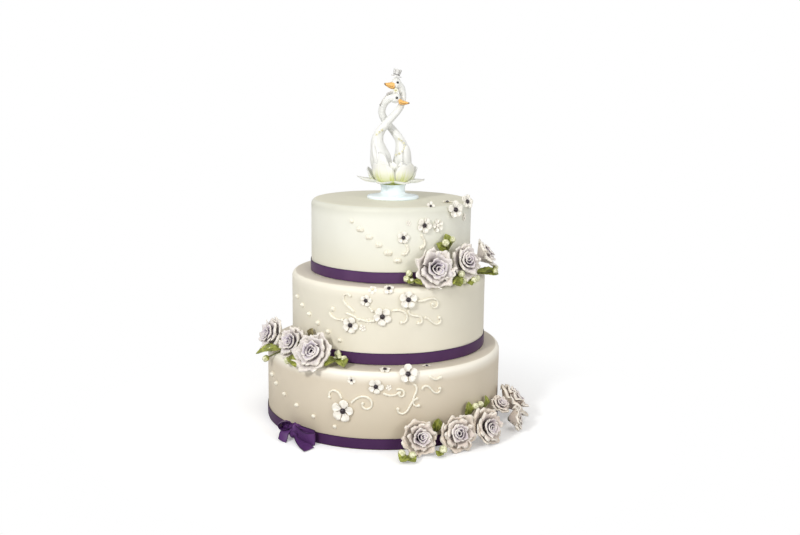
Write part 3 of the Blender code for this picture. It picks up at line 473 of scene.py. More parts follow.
def icing_shade(tier_name, body, foot, edge, painted_shade_top):
    """Rolled icing with painted shade towards its foot and on top, a painted band on the soft edge (light
    on the middle and bottom tiers, shade on the top one), and faint clouds.
    """
    tier = TIERS[tier_name]
    shade = Shade("icing " + tier_name, roughness=0.5)
    cloud = shade.patches(0.3, 0.7, 24, 3)
    grain = shade.noise(950)
    height = shade.node("ShaderNodeSeparateXYZ", None, {0: shade.place()}, out="Z")
    # Painted shade: the wall grows darker towards its foot.
    wall = shade.mix(shade.step(height, tier.low * MM, (tier.high - 25) * MM), foot, body)
    # Painted light on the soft edge of the middle and bottom tiers, painted shade on that of the top tier.
    wall = shade.mix(shade.step(height, (tier.high - 17) * MM, (tier.high - 3) * MM), wall, edge)
    # Painted shade on the flat top.
    wall = shade.mix(shade.step(height, (tier.high - 0.9) * MM, (tier.high - 0.2) * MM), wall, painted_shade_top)
    shade.feed("Base Color", shade.mix(cloud * 0.4, wall, shade.mix(0.1, wall, srgb(150, 130, 96))))
    shade.feed("Roughness", 0.46 + grain * 0.12)
    shade.bump(grain * 0.35 + shade.noise(60), 0.25, 0.5)
    return shade.material


def piping_shade():
    """Piped icing: a little lighter and glossier than what it lies on, duller in its hollows."""
    shade = Shade("piped icing", roughness=0.38)
    hollow = shade.patches(0.35, 0.75, 420)
    shade.feed("Base Color", shade.mix(hollow * 0.6, srgb(247, 242, 226), srgb(231, 223, 200)))
    shade.feed("Roughness", 0.34 + hollow * 0.14)
    shade.bump(shade.noise(700), 0.2, 0.3)
    return shade.material


def ribbon_shade(name, body, deep, light):
    """Satin ribbon: threads across it, darker towards both edges, and slow patches where its colour is
    painted lighter as sheen and it is a little rougher.
    """
    shade = Shade(name, roughness=0.4, specular_ior_level=0.14)
    across = shade.mark("across")
    edge = shade.step(across * across, 0.66, 1.0)
    cloud = shade.patches(0.3, 0.75, 30, 3, (1, 1, 0.4))
    thread = shade.node("ShaderNodeTexWave", {"bands_direction": "Z", "wave_profile": "SIN"},
                        {"Vector": shade.place(), "Scale": 520.0, "Distortion": 0.6, "Detail": 1.0})
    # Painted sheen: lighter patches of the colour stand in for the satin's shine.
    painted_sheen_mix = shade.mix(cloud * 0.55, body, light)
    shade.feed("Base Color", shade.mix(edge * 0.75, shade.mix((1 - thread) * 0.22, painted_sheen_mix, deep), deep))
    shade.feed("Roughness", 0.36 + cloud * 0.12 + edge * 0.15)
    shade.bump(thread * 0.5 + shade.noise(900, 1) * 0.5, 0.3, 0.15)
    return shade.material


def blossom_shade():
    """White sugar paste, with faint lavender-grey painted shade where the petals meet, and soft veins."""
    shade = Shade("white sugar paste", roughness=0.5)
    vein = shade.patches(0.45, 0.8, 900)
    # Painted shade: lavender grey towards the middle, where the petals meet.
    root = 1 - shade.step(shade.mark("along"), 0.0, 0.55)
    petal = shade.mix(vein * 0.3, srgb(248, 243, 231), srgb(230, 222, 210))
    shade.feed("Base Color", shade.mix(root * 0.45, petal, srgb(204, 194, 196)))
    shade.feed("Roughness", 0.44 + vein * 0.12)
    shade.bump(shade.noise(500), 0.2, 0.3)
    return shade.material


def bead_shade(name, dark, light):
    shade = Shade(name, roughness=0.3)
    speck = shade.patches(0.5, 0.8, 1500)
    shade.feed("Base Color", shade.mix(speck, dark, light))
    shade.bump(speck, 0.4, 0.2)
    return shade.material


def rose_shade(name, outer, inner):
    """Sugar petals: cream rims, lavender faces, and painted shade in deep purple at the foot of each petal,
    deepest in the heart.
    """
    shade = Shade(name, roughness=0.55, sheen_weight=0.15)
    along, across = shade.mark("along"), shade.mark("across")
    depth, tone = shade.mark("depth"), shade.mark("tone")
    face = shade.mix(shade.step(depth, 0.05, 0.75), outer, inner)
    face = shade.mix(tone * 0.35, face, srgb(228, 216, 200))
    streak = shade.step(shade.streaks(across * 14, along * 1.5 + tone * 40), 0.4, 0.75)
    face = shade.mix(streak * 0.3, face, srgb(176, 160, 184))
    rim = shade.step(along, 0.7, 0.94)
    # Painted shade: deep purple at the foot of each petal, where the rings overlap, more in the inner
    # rings.
    root = (1 - shade.step(along - depth * 0.16, 0.1, 0.64)) * (0.3 + depth * 0.7)
    petal = shade.mix(root, shade.mix(rim * 0.85, face, srgb(248, 242, 230)), srgb(72, 46, 80))
    shade.feed("Base Color", petal)
    shade.feed("Roughness", 0.5 + streak * 0.12)
    shade.bump(streak * 0.6 + shade.noise(420) * 0.4, 0.3, 0.4)
    return shade.material


# Painted shade: near-black colour for the ball that stands in for the shadow deep in a rose's heart.
def heart_shadow_shade():
    shade = Shade("rose heart", roughness=0.6)
    shade.feed("Base Color", shade.mix(shade.noise(900), srgb(46, 26, 48), srgb(96, 70, 102)))
    return shade.material


def leaf_shade(name, body, light, dark):
    """Sugar leaf: pale ribs, darker blade between them, brushed colour in patches, and painted shade
    towards the root.
    """
    shade = Shade(name, roughness=0.42)
    along = shade.mark("along")
    side = shade.mark("across").math("ABSOLUTE")
    rib = 1 - shade.step(side, 0.0, 0.14)
    ribs = (along * 6.0 - side * 1.6).math("FRACT")
    ribs = shade.step((ribs - 0.5).math("ABSOLUTE"), 0.36, 0.5) * shade.step(side, 0.02, 0.2)
    brushed = shade.patches(0.35, 0.7, 160, 3)
    blade = shade.mix(brushed, body, light)
    # Darker towards the root as painted shade, and in patches as brushed colour.
    blade = shade.mix((1 - along) * 0.45 + (1 - brushed) * 0.3, blade, dark)
    veins = (rib + ribs * 0.6).math("MINIMUM", 1.0)
    shade.feed("Base Color", shade.mix(veins * 0.6, blade, light))
    shade.feed("Roughness", 0.36 + brushed * 0.16)
    shade.bump(1 - veins, 0.5, 0.35)
    return shade.material


def bud_shade():
    """Small buds: cream tips over yellow-green, in a loose swirl."""
    shade = Shade("bud sugar", roughness=0.45)
    swirl = shade.patches(0.42, 0.62, 380)
    tip = shade.step(shade.mark("along"), 0.2, 0.65)
    green = shade.mix(swirl, srgb(140, 146, 54), srgb(198, 202, 108))
    shade.feed("Base Color", shade.mix(tip * (0.45 + swirl * 0.5), green, srgb(248, 246, 216)))
    shade.bump(swirl, 0.4, 0.4)
    return shade.material


def glaze_shade():
    """White glaze of the swans, with grey painted shade in folds and creases, and faint feathering."""
    shade = Shade("white glaze", roughness=0.36, coat_weight=0.1, coat_roughness=0.2)
    crease = shade.node("ShaderNodeNewGeometry", out="Pointiness")
    # Painted shade: grey where the surface is hollow, in folds and creases.
    fold = 1 - shade.step(crease, 0.44, 0.508)
    cloud = shade.patches(0.35, 0.75, 90, 3)
    body = shade.mix(cloud * 0.4, srgb(238, 238, 233), srgb(221, 220, 215))
    shade.feed("Base Color", shade.mix(fold * 0.85, body, srgb(126, 124, 122)))
    shade.feed("Roughness", 0.34 + cloud * 0.12)
    shade.bump(shade.noise(260, 3, (1, 1, 0.35)), 0.25, 0.5)
    return shade.material


def plain_shade(name, first, second, scale, roughness, **constants):
    """Small plain finish with mottling of a given scale."""
    shade = Shade(name, roughness=roughness, **constants)
    spots = shade.patches(0.35, 0.7, scale)
    shade.feed("Base Color", shade.mix(spots, first, second))
    shade.feed("Roughness", roughness + spots * 0.1)
    return shade.material


def beak_shade():
    """Mottled orange beak with a brown tip."""
    shade = Shade("beak orange", roughness=0.3, coat_weight=0.3)
    cloud = shade.noise(300)
    body = shade.mix(cloud, srgb(248, 202, 124), srgb(240, 178, 92))
    tip = shade.step(shade.mark("along"), 0.8, 0.98)
    shade.feed("Base Color", shade.mix(tip * 0.8, body, srgb(110, 84, 60)))
    shade.bump(cloud, 0.2, 0.2)
    return shade.material


def lily_shade():
    """Water lily petals: white, with a yellow-green root that runs up in fine veins, and grey painted shade
    along their sides and tips.
    """
    shade = Shade("lily petal", roughness=0.35, coat_weight=0.15)
    along, across = shade.mark("along"), shade.mark("across")
    depth = shade.mark("depth")
    veins = shade.step(shade.streaks(across * 9, along * 1.2 + depth * 9), 0.5, 0.7)
    root = 1 - shade.step(along, 0.14, 0.84)
    green = (root * (0.6 + veins * 0.5) + veins * 0.15) * depth
    # Painted shade: grey along the sides and tip of each petal.
    edge = shade.step(across.math("ABSOLUTE"), 0.8, 1.0).math("MAXIMUM", shade.step(along, 0.93, 1.0))
    petal = shade.mix(green.math("MINIMUM", 1.0), srgb(250, 249, 244), srgb(216, 224, 112))
    shade.feed("Base Color", shade.mix(edge * 0.35, petal, srgb(196, 200, 196)))
    shade.feed("Roughness", 0.3 + veins * 0.12)
    shade.bump(veins, 0.3, 0.3)
    return shade.material


def add_object(name, data):
    thing = bpy.data.objects.new(name, data)
    bpy.context.scene.collection.objects.link(thing)
    return thing


def polar(radius, turn, height, shift=0.0):
    """Point at a turn from the front about an upright axis, which may stand some way to the right."""
    return Vector((shift + radius * sin(turn), -radius * cos(turn), height))


def grid(rows, columns, spot):
    """Rows of points: spot gives each from its share of the way up and its place across, -1 to 1."""
    return [[spot(row / (rows - 1), 2 * column / (columns - 1) - 1) for column in range(columns)]
            for row in range(rows)]


class Skin:
    """Points, faces and marks of one piece. A material reads the marks along, across, tone and depth."""

    def __init__(self, place=Matrix.Identity(4)):
        self.place = place
        self.points = []
        self.faces = []
        self.slots = []
        self.marks = {"along": [], "across": [], "tone": [], "depth": []}

    def add_points(self, points, along, across, tone, depth):
        """Take in points of one row with their marks, and say at which index they start."""
        first, count = len(self.points), len(points)
        self.points += [self.place @ point for point in points]
        self.marks["along"] += [along] * count
        self.marks["across"] += across
        self.marks["tone"] += [tone] * count
        self.marks["depth"] += [depth] * count
        return first

    def sheet(self, rows, ring=False, slot=0, tone=0.5, depth=0.5, tips=(None, None)):
        """Faces between rows of equal count, closed round if ring, with a point at each end if given."""
        count = len(rows[0])
        spread = [2 * (i + 0.5) / count - 1 if ring else 2 * i / (count - 1) - 1 for i in range(count)]
        starts = [self.add_points(row, number / (len(rows) - 1), spread, tone, depth)
                  for number, row in enumerate(rows)]
        before = len(self.faces)
        for low, high in zip(starts, starts[1:]):
            for index in range(count if ring else count - 1):
                after = (index + 1) % count
                self.faces.append((low + index, low + after, high + after, high + index))
        for start, tip, along in ((starts[0], tips[0], 0.0), (starts[-1], tips[1], 1.0)):
            if tip is not None:
                point = self.add_points([tip], along, [0.0], tone, depth)
                self.faces += [(start + index, start + (index + 1) % count, point)
                               for index in range(count)]
        self.slots += [slot] * (len(self.faces) - before)

    def lathe(self, profile, sides, centre=Vector((0, 0, 0)), **kinds):
        """Solid turned about +Z from (radius, height) points whose first and last lie on the axis."""
        rows = [[centre + polar(radius, tau * side / sides, height) for side in range(sides)]
                for radius, height in profile[1:-1]]
        ends = [centre + Vector((0, 0, profile[end][1])) for end in (0, -1)]
        self.sheet(rows, ring=True, tips=ends, **kinds)

    def tube(self, points, radii, sides, **kinds):
        """Round bar through points, rounded off at both ends."""
        rows = []
        side_way = None
        for index, (point, radius) in enumerate(zip(points, radii)):
            course = (points[min(index + 1, len(points) - 1)] - points[max(index - 1, 0)]).normalized()
            if side_way is None:
                side_way = course.orthogonal()
            side_way = (side_way - course * side_way.dot(course)).normalized()
            other = course.cross(side_way)
            circle = [side_way * cos(tau * k / sides) + other * sin(tau * k / sides) for k in range(sides)]
            if index == 0:
                rows.append([point - course * radius * 0.55 + c * radius * 0.62 for c in circle])
            rows.append([point + c * radius for c in circle])
            if index == len(points) - 1:
                rows.append([point + course * radius * 0.55 + c * radius * 0.62 for c in circle])
        start = points[0] + (points[0] - points[1]).normalized() * radii[0] * 0.85
        end = points[-1] + (points[-1] - points[-2]).normalized() * radii[-1] * 0.85
        self.sheet(rows, ring=True, tips=(start, end), **kinds)

    def ball(self, centre, size, sides=10, rows=7, matrix=Matrix.Identity(3), shape=None, **kinds):
        """Oval solid about a centre. shape bends each point of the unit ball first."""
        rings = []
        for row in range(1, rows):
            polar_turn = pi * row / rows
            ring = []
            for side in range(sides):
                turn = tau * side / sides
                point = Vector((sin(polar_turn) * cos(turn), sin(polar_turn) * sin(turn), -cos(polar_turn)))
                if shape:
                    point = shape(point)
                ring.append(centre + matrix @ Vector([a * b for a, b in zip(point, size)]))
            rings.append(ring)
        ends = [centre + matrix @ Vector((0, 0, end * size[2])) for end in (-1, 1)]
        self.sheet(rings, ring=True, tips=ends, **kinds)

    def keep_above(self, height):
        """Press flat what would sink into the table."""
        for point in self.points:
            point.z = max(point.z, height)

    def make(self, name, materials, thick=0.0):
        """The object, in metres, with its marks, its materials and the thickness of its sheets."""
        mesh = bpy.data.meshes.new(name)
        mesh.from_pydata([point * MM for point in self.points], [], self.faces)
        mesh.polygons.foreach_set("material_index", self.slots)
        for key, values in self.marks.items():
            mesh.attributes.new(key, "FLOAT", "POINT").data.foreach_set("value", values)
        shape = bmesh.new()
        shape.from_mesh(mesh)
        bmesh.ops.recalc_face_normals(shape, faces=shape.faces)
        shape.to_mesh(mesh)
        shape.free()
        mesh.shade_smooth()
        mesh.set_sharp_from_angle(angle=radians(60))
        for material in materials:
            mesh.materials.append(material)
        piece = add_object(name, mesh)
        if thick:
            shell = piece.modifiers.new("thickness", "SOLIDIFY")
            shell.thickness = thick * MM
            shell.offset = 0.0
        return piece


def set_out(piece, slot, *nodes):
    """Put a finished piece on the cake in place of its CAD nodes."""
    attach(piece, "root")
    if nodes:
        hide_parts(*nodes)


def around(tier_name, angle, out, height):
    """Point at an angle from the front, out from a tier's wall, at a height above the table."""
    tier = TIERS[tier_name]
    return polar(tier.radius + out, radians(angle), height, tier.shift)


def on_icing(tier_name, angle, drop, out=0.0):
    """Point on a tier's skin. Drop runs down the wall, and is negative over the edge and on top."""
    tier = TIERS[tier_name]
    if drop >= 0:
        reach, height = tier.radius + out, tier.high - EDGE - drop
    elif drop > -QUARTER:
        lean = -drop / EDGE
        reach = tier.radius - EDGE + (EDGE + out) * cos(lean)
        height = tier.high - EDGE + (EDGE + out) * sin(lean)
    else:
        reach, height = tier.radius - EDGE + drop + QUARTER, tier.high + out
    return polar(reach, radians(angle), height, tier.shift)


def beside(tier_name, angle, drop, right, down, out):
    """Point some millimetres to the right of and below another on the icing, and out from it."""
    tier = TIERS[tier_name]
    reach = tier.radius if drop > -QUARTER else tier.radius - EDGE + drop + QUARTER
    return on_icing(tier_name, angle + degrees(right / reach), drop + down, out)


def facing(azimuth, tilt, spin=0.0):
    """Rotation whose +Z looks out at an azimuth from the front, tilted up, turned about itself."""
    turn = Matrix.Rotation(radians(azimuth), 3, "Z")
    rise = Matrix.Rotation(radians(90 - tilt), 3, "X")
    return turn @ rise @ Matrix.Rotation(radians(spin), 3, "Z")


def on_curve(places, share):
    """Point at a share of the way along a Catmull-Rom curve through places of any size."""
    last = len(places) - 1
    index = min(int(share * last), last - 1)
    t = share * last - index
    b, c = Vector(places[index]), Vector(places[index + 1])
    a = Vector(places[index - 1]) if index else b * 2 - c
    d = Vector(places[index + 2]) if index + 2 <= last else c * 2 - b
    return 0.5 * (2 * b + (c - a) * t + (2 * a - 5 * b + 4 * c - d) * t * t
                  + (3 * b - a - 3 * c + d) * t ** 3)


def scroll_line(tier_name, angle, drop, heading, length, bend, last_bend):
    """Points a millimetre apart on the icing along a line whose bend changes evenly."""
    steps = round(length)
    stride = length / steps
    right = down = 0.0
    points = [on_icing(tier_name, angle, drop, PIPE_OUT)]
    for step in range(steps):
        along = (step + 0.5) * stride
        course = radians(heading + bend * along + (last_bend - bend) * along ** 2 / (2 * length))
        right += stride * cos(course)
        down += stride * sin(course)
        points.append(beside(tier_name, angle, drop, right, down, PIPE_OUT))
    return points


def kiss(skin, tier_name, angle, drop, radius, lobes, slot):
    """Piped dot drawn off to a point, its base one round or two lobes side by side."""
    tallest = DOT_TALL * radius / DOT
    for lobe in range(lobes):
        offset = (lobe - (lobes - 1) / 2) * radius * 1.35
        rows = []
        for share, tall in DOT_PROFILE:
            ring = []
            for side in range(DOT_SIDES):
                turn = tau * side / DOT_SIDES
                right = offset + radius * share * sin(turn) - offset * tall * 0.45
                down = -radius * share * cos(turn) - tall * 0.9
                ring.append(beside(tier_name, angle, drop, right, down, tallest * tall))
            rows.append(ring)
        ends = [beside(tier_name, angle, drop, offset, 0, -0.3),
                beside(tier_name, angle, drop, offset * 0.5, -1.3, tallest * 1.05)]
        skin.sheet(rows, ring=True, slot=slot, tips=ends)


def stand_off(tier_name, angle, drop, stand):
    """Centre and rotation of a flower that stands off the icing."""
    azimuth, tilt, out = stand
    return on_icing(tier_name, angle, drop, out), facing(azimuth, tilt)


def flower(skin, tier_name, angle, drop, radius, spin, dice, slot=0, lift=0.4, stand=None):
    """Five cupped petals that follow the icing under them, or stand off it as a flat flower."""
    if stand:
        centre, turn_by = stand_off(tier_name, angle, drop, stand)
    for petal in range(PETALS):
        middle = spin + 360 * petal / PETALS + dice.uniform(-4, 4)
        size = radius * dice.uniform(0.93, 1.04)
        cup = dice.uniform(0.8, 1.25)

        def spot(share, across):
            spread = radians(middle + across * 34.5 * (0.72 + 0.28 * share))
            reach = size * (0.1 + 0.9 * share) * (1 - 0.3 * share * abs(across) ** 2.8)
            rise = lift + radius * 0.1 * cup * (1.1 * share ** 1.8 + 1.3 * share * across ** 2)
            rise += radius * 0.05 * share * sin(across * 5 + 2 * petal)
            right, down = reach * sin(spread), -reach * cos(spread)
            if stand:
                return centre + turn_by @ Vector((right, -down, rise))
            return beside(tier_name, angle, drop, right, down, rise)
        skin.sheet(grid(BLOSSOM_ROWS, BLOSSOM_COLUMNS, spot), slot=slot, tone=dice.random())


def bead(skin, tier_name, angle, drop, radius, out, slot, stand=None):
    """Round centre of a flower, pressed a little flat against the icing."""
    centre = on_icing(tier_name, angle, drop, out)
    outward = (on_icing(tier_name, angle, drop, out + 1) - centre).normalized()
    turn_by = outward.to_track_quat("Z", "Y").to_matrix()
    if stand:
        centre, turn_by = stand_off(tier_name, angle, drop, stand)
        centre += turn_by @ Vector((0, 0, out))
    skin.ball(centre, (radius, radius, radius * 0.75), 12, 8, turn_by, slot=slot)


def build_tier(name, icing, piping, white, centres, dice):
    """Tier of fondant with its soft edge, and all that is piped or stuck on it."""
    tier = TIERS[name]
    inner, shoulder = tier.radius - EDGE, tier.high - EDGE
    profile = [(inner * share, tier.high) for share in (0.0, 0.15, 0.35, 0.55, 0.75, 0.9)]
    for step in range(EDGE_STEPS + 1):
        lean = pi / 2 * (1 - step / EDGE_STEPS)
        profile.append((inner + EDGE * cos(lean), shoulder + EDGE * sin(lean)))
    wall = shoulder - tier.low
    profile += [(tier.radius, tier.low + wall * (1 - step / WALL_STEPS))
                for step in range(1, WALL_STEPS + 1)]
    profile += [(tier.radius - 1.0, tier.low), (0.0, tier.low)]
    skin = Skin()
    skin.lathe(profile, TIER_SIDES, Vector((tier.shift, 0, 0)))
    for index, point in enumerate(skin.points):
        if tier.low + 18 < point.z:
            skin.points[index] = point * (1 + 0.0011 * noise.noise(point * 0.022))
            skin.points[index].z = point.z + 0.2 * noise.noise(point * 0.03)
    for number, scroll in enumerate(SCROLLS[name]):
        line = scroll_line(name, *scroll)
        last = len(line) - 1
        radii = [PIPE * (1.05 - 0.25 * i / last + 0.08 * sin(1.7 * i + number)) for i in range(len(line))]
        skin.tube(line, radii, 8, slot=1)
        right, down = dice.uniform(-0.3, 0.3), dice.uniform(-0.3, 0.3)
        skin.ball(line[-1] + Vector((right, -0.4, down)), (2.0, 1.9, 2.0), slot=1)
    first, last, high, low, spacing = TRAILS[name]
    for number in range(TRAIL_DOTS):
        share = number / (TRAIL_DOTS - 1)
        angle, drop = first + (last - first) * share ** spacing, high + (low - high) * share
        lobes = min(1 + (number + 1) // 2, 2) if name == "top" else 1
        for back in (0, 180):
            kiss(skin, name, angle + back, drop, DOT * dice.uniform(0.9, 1.12), lobes, 1)
    if name == LONE_DOT[0]:
        kiss(skin, *LONE_DOT, 1, 1)
    for number, (angle, drop, radius, centre) in enumerate(BUTTONS[name], 1):
        stand = STANDING.get(f"button_{name}_{number}")
        flower(skin, name, angle, drop, radius, dice.uniform(0, 72), dice, slot=2, lift=0.2, stand=stand)
        size = radius * (0.27 if centre == "dark" else 0.24)
        bead(skin, name, angle, drop, size, 1.1, {"dark": 3, "cream": 4, "white": 2}[centre], stand)
    set_out(skin.make("icing_" + name, [icing, piping, white, *centres]), "icing", "tier_" + name)


def build_ribbon(name, satin):
    """Band of satin round the foot of a tier, with its ends lapped at the back."""
    tier = TIERS[name]
    low, width = RIBBONS[name]
    foot = tier.low + low
    skin = Skin()
    for start, end, sides, out in ((0, 360, TIER_SIDES, 0.0),
                                   (180 - RIBBON_LAP, 180 + RIBBON_LAP, LAP_SIDES, RIBBON_THICK)):
        inner = tier.radius + GAP + out
        outer = inner + RIBBON_THICK
        corners = [(inner, 0.02), (outer - SOFT, 0.0), (outer, 0.05)]
        corners += [(outer + SOFT * sin(pi * k / 8), k / 8) for k in range(1, 8)]
        corners += [(outer, 0.95), (outer - SOFT, 1.0), (inner, 0.98)]
        rows = []
        for radius, share in corners:
            row = []
            for side in range(sides + (1 if out else 0)):
                turn = radians(start + (end - start) * side / sides)
                sway = 0.12 * sin(5 * turn) + 0.08 * sin(11 * turn + 1)
                height = foot + width * share + (sway if tier.low > 0 or share > 0.5 else 0.0)
                row.append(polar(radius, turn, height, tier.shift))
            rows.append(row)
        rows.append(rows[0])
        skin.sheet(rows, ring=not out)
    for index, point in enumerate(skin.points):
        skin.marks["across"][index] = 2 * (point.z - foot) / width - 1
        skin.marks["along"][index] = atan2(point.x, -point.y) / tau + 0.5
    set_out(skin.make("satin_" + name, [satin]), "ribbon", "ribbon_" + name)


def build_blossom(node, tier_name, angle, drop, radius, spin, materials, dice):
    """White sugar blossom with a dark bead in the middle."""
    skin = Skin()
    stand = STANDING.get(node)
    flower(skin, tier_name, angle, drop, radius * 1.02, spin, dice, lift=0.7, stand=stand)
    bead(skin, tier_name, angle, drop, radius * 0.19 + 0.7, 1.6, 1, stand)
    set_out(skin.make(node + "_petals", materials, BLOSSOM_THICK), "blossom", node)


def rose_petal(skin, rose, layer, level, turn, shift, dice):
    """One petal of a rose, from its foot to its curled rim."""
    loose = max(0.0, 1 - level / 3)
    size = 1 + dice.uniform(-0.13, 0.08) * loose
    phase, folds = dice.uniform(0, tau), dice.uniform(3.8, 7.0)
    droop = dice.uniform(-0.2, 0.14) * loose
    pointed = dice.choice((0.0, 0.05, 0.11)) * loose

    def spot(share, across):
        reach, height = on_curve(layer.profile, share * (1 - 0.3 * abs(across) ** 3))
        wave = sin(folds * across + phase) + 0.45 * sin(2.3 * folds * across - phase)
        wave *= layer.ruffle * share ** 2.5 * 0.85
        tip = exp(-(across / 0.26) ** 2) * share ** 5
        reach = reach * size * (1 + layer.spiral * across) + wave * 0.8 + pointed * tip
        height += droop * share + wave + pointed * 0.5 * tip
        height -= 0.22 * loose * share * max(0.0, abs(across) - 0.6)
        rise = height * (rose.depth if height < 0 else rose.radius)
        angle = radians(turn + layer.half * across * (0.82 + 0.18 * share))
        return (Vector((reach * sin(angle), reach * cos(angle), 0)) * rose.radius
                + shift * share + Vector((0, 0, rise)))
    skin.sheet(grid(PETAL_ROWS, PETAL_COLUMNS, spot), tone=dice.random(),
               depth=level / (len(ROSE_LAYERS) - 1))


def build_rose(node, rose, materials, dice):
    """Sugar rose: rings of petals round a tight heart, with a dark ball of painted shade at its middle."""
    centre = around(rose.tier, rose.angle, rose.out, rose.height)
    turn_by = facing(rose.azimuth, rose.tilt, rose.spin).to_4x4()
    skin = Skin(Matrix.Translation(centre) @ turn_by)
    radius, depth = rose.radius, rose.depth
    start, lean = dice.uniform(0, 360), dice.uniform(0, tau)
    aside = Vector((sin(lean), cos(lean), 0)) * radius * 0.04
    for level, layer in enumerate(ROSE_LAYERS):
        start += 41 + dice.uniform(-8, 8)
        for petal in range(layer.count):
            turn = start + 360 * petal / layer.count + dice.uniform(-9, 9) * (level < 3)
            rose_petal(skin, rose, layer, level, turn, aside * level, dice)
    # Dark ball of painted shade at the very middle.
    skin.ball(aside * 4 + Vector((0, 0, 0.06 * radius)),
              (0.07 * radius, 0.07 * radius, 0.1 * radius), slot=1)
    skin.ball(Vector((0, 0, -0.7 * depth)), (0.26 * radius, 0.26 * radius, 0.3 * depth), slot=2)
    skin.keep_above(0.6)
    set_out(skin.make(node + "_petals", materials, PETAL_THICK), "rose", node)


def leaf(skin, foot, tip, width, up, dice):
    """Toothed leaf, folded along its rib, arched and a little twisted."""
    axis = tip - foot
    length = axis.length
    axis.normalize()
    side = axis.cross(up).normalized()
    normal = side.cross(axis).normalized()
    curl, sway = dice.uniform(0.03, 0.09), dice.uniform(-0.08, 0.08)

    def spot(share, across):
        tooth = 1.0 - 0.16 * ((share * LEAF_TEETH) % 1.0)
        half = width * 0.68 * max(sin(pi * (0.06 + 0.94 * share)) ** 0.7, 0.02) * tooth
        middle = foot + axis * length * share + side * length * sway * sin(pi * share)
        middle += normal * sin(pi * share) * curl * length
        fold = 0.3 * abs(across) + 0.08 * sin(across * 4 + share * 9)
        return (middle + side * half * across + normal * half * fold
                + axis * half * 0.35 * abs(across) * (1 - share))
    skin.sheet(grid(LEAF_ROWS, LEAF_COLUMNS, spot), tone=dice.random())


def bud(skin, place, radius, away, dice):
    """Round bud with wrapped petals that open a little at its tip."""
    twist = dice.uniform(0, tau)

    def wrapped(point):
        turn = atan2(point.y, point.x)
        lobes = 1 + 0.07 * cos(3 * turn + 4 * point.z + twist)
        dent = 1 - 0.25 * max(0.0, point.z - 0.75) / 0.25
        return Vector((point.x * lobes, point.y * lobes, point.z * dent))
    skin.ball(place, (radius, radius, radius * 1.15), 14, 10, away.to_track_quat("Z", "Y").to_matrix(),
              wrapped, slot=1)


def build_spray(node, spray, materials, dice):
    """Leaves and stalked buds that spread from one small knot."""
    angle, out, height = spray.root
    root = around(spray.tier, angle, out, height)
    outward = (around(spray.tier, angle, out + 1, height) - root).normalized()
    skin = Skin()
    for tip, width in spray.leaves:
        lies_flat = tip[2] < height + 4
        face = Vector((0, -0.6, 1)) if lies_flat else outward + Vector((0, 0, 0.2))
        lift = Vector((0, 0, 2.4 if lies_flat else 0.0))
        leaf(skin, root + lift, around(spray.tier, *tip) + lift * 0.6, width, face, dice)
    for place, radius in spray.buds:
        spot = around(spray.tier, *place)
        bend = root.lerp(spot, 0.5) + outward * 1.2
        skin.tube([on_curve([root, bend, spot], k / 6) for k in range(7)], [STEM] * 7, 6, slot=2)
        bud(skin, spot, radius, (spot - root).normalized() + outward, dice)
    skin.ball(root, (SPRAY_KNOT,) * 3, slot=2)
    skin.keep_above(0.5)
    set_out(skin.make(node + "_leaves", materials, LEAF_THICK), "leaf", node)


def build_bow(satin):
    """Bow of satin: two open loops, two tails and a creased knot."""
    turn = radians(BOW_ANGLE)
    right = Vector((cos(turn), sin(turn), 0))
    out = Vector((sin(turn), -cos(turn), 0))
    up = Vector((0, 0, 1))
    centre = around("bottom", BOW_ANGLE, BOW_OUT, BOW_HEIGHT)
    skin = Skin()

    def local(place):
        return right * place.x + out * place.y + up * place.z

    for name, (places, directions, widths) in BOW_STRIPS.items():
        loop = "loop" in name
        steps = LOOP_STEPS if loop else TAIL_STEPS
        line = [centre + local(on_curve(places, step / steps)) for step in range(steps + 1)]
        rows = []
        for step, middle in enumerate(line):
            share = step / steps
            direction = local(on_curve(directions, share)).normalized()
            normal = (line[min(step + 1, steps)] - line[max(step - 1, 0)]).cross(direction).normalized()
            half = on_curve([(width, 0) for width in widths], share).x / 2
            near_knot = abs(2 * share - 1) if loop else 1 - share
            row = []
            for column in range(BOW_COLUMNS):
                across = 2 * column / (BOW_COLUMNS - 1) - 1
                fold = sum(exp(-((across - crease - 0.2 * share) / 0.13) ** 2) for crease in BOW_CREASES)
                roll = 0.5 * across * across
                row.append(middle + direction * half * across
                           - normal * (1.3 * fold * near_knot ** 2.5 + roll))
            rows.append(row)
        skin.sheet(rows)

    def creased(point):
        folds = 1 + 0.1 * sin((point.x + point.y * 0.35) * 10.0)
        square = max(abs(point.x), abs(point.y), abs(point.z)) ** -0.45
        return point * square * folds * 0.84
    for place, size in BOW_GATHERS:
        skin.ball(centre + local(Vector(place)), size, 36, 24, facing(BOW_ANGLE + 8, 12), creased)
    skin.keep_above(0.55)
    set_out(skin.make("bow_satin", [satin], BOW_THICK), "bow", "bow")


def build_pedestal(glaze):
    skin = Skin(Matrix.Translation(TOPPER))
    skin.lathe(PEDESTAL, PEDESTAL_SIDES)
    set_out(skin.make("pedestal_glaze", [glaze]), "pedestal", "pedestal")


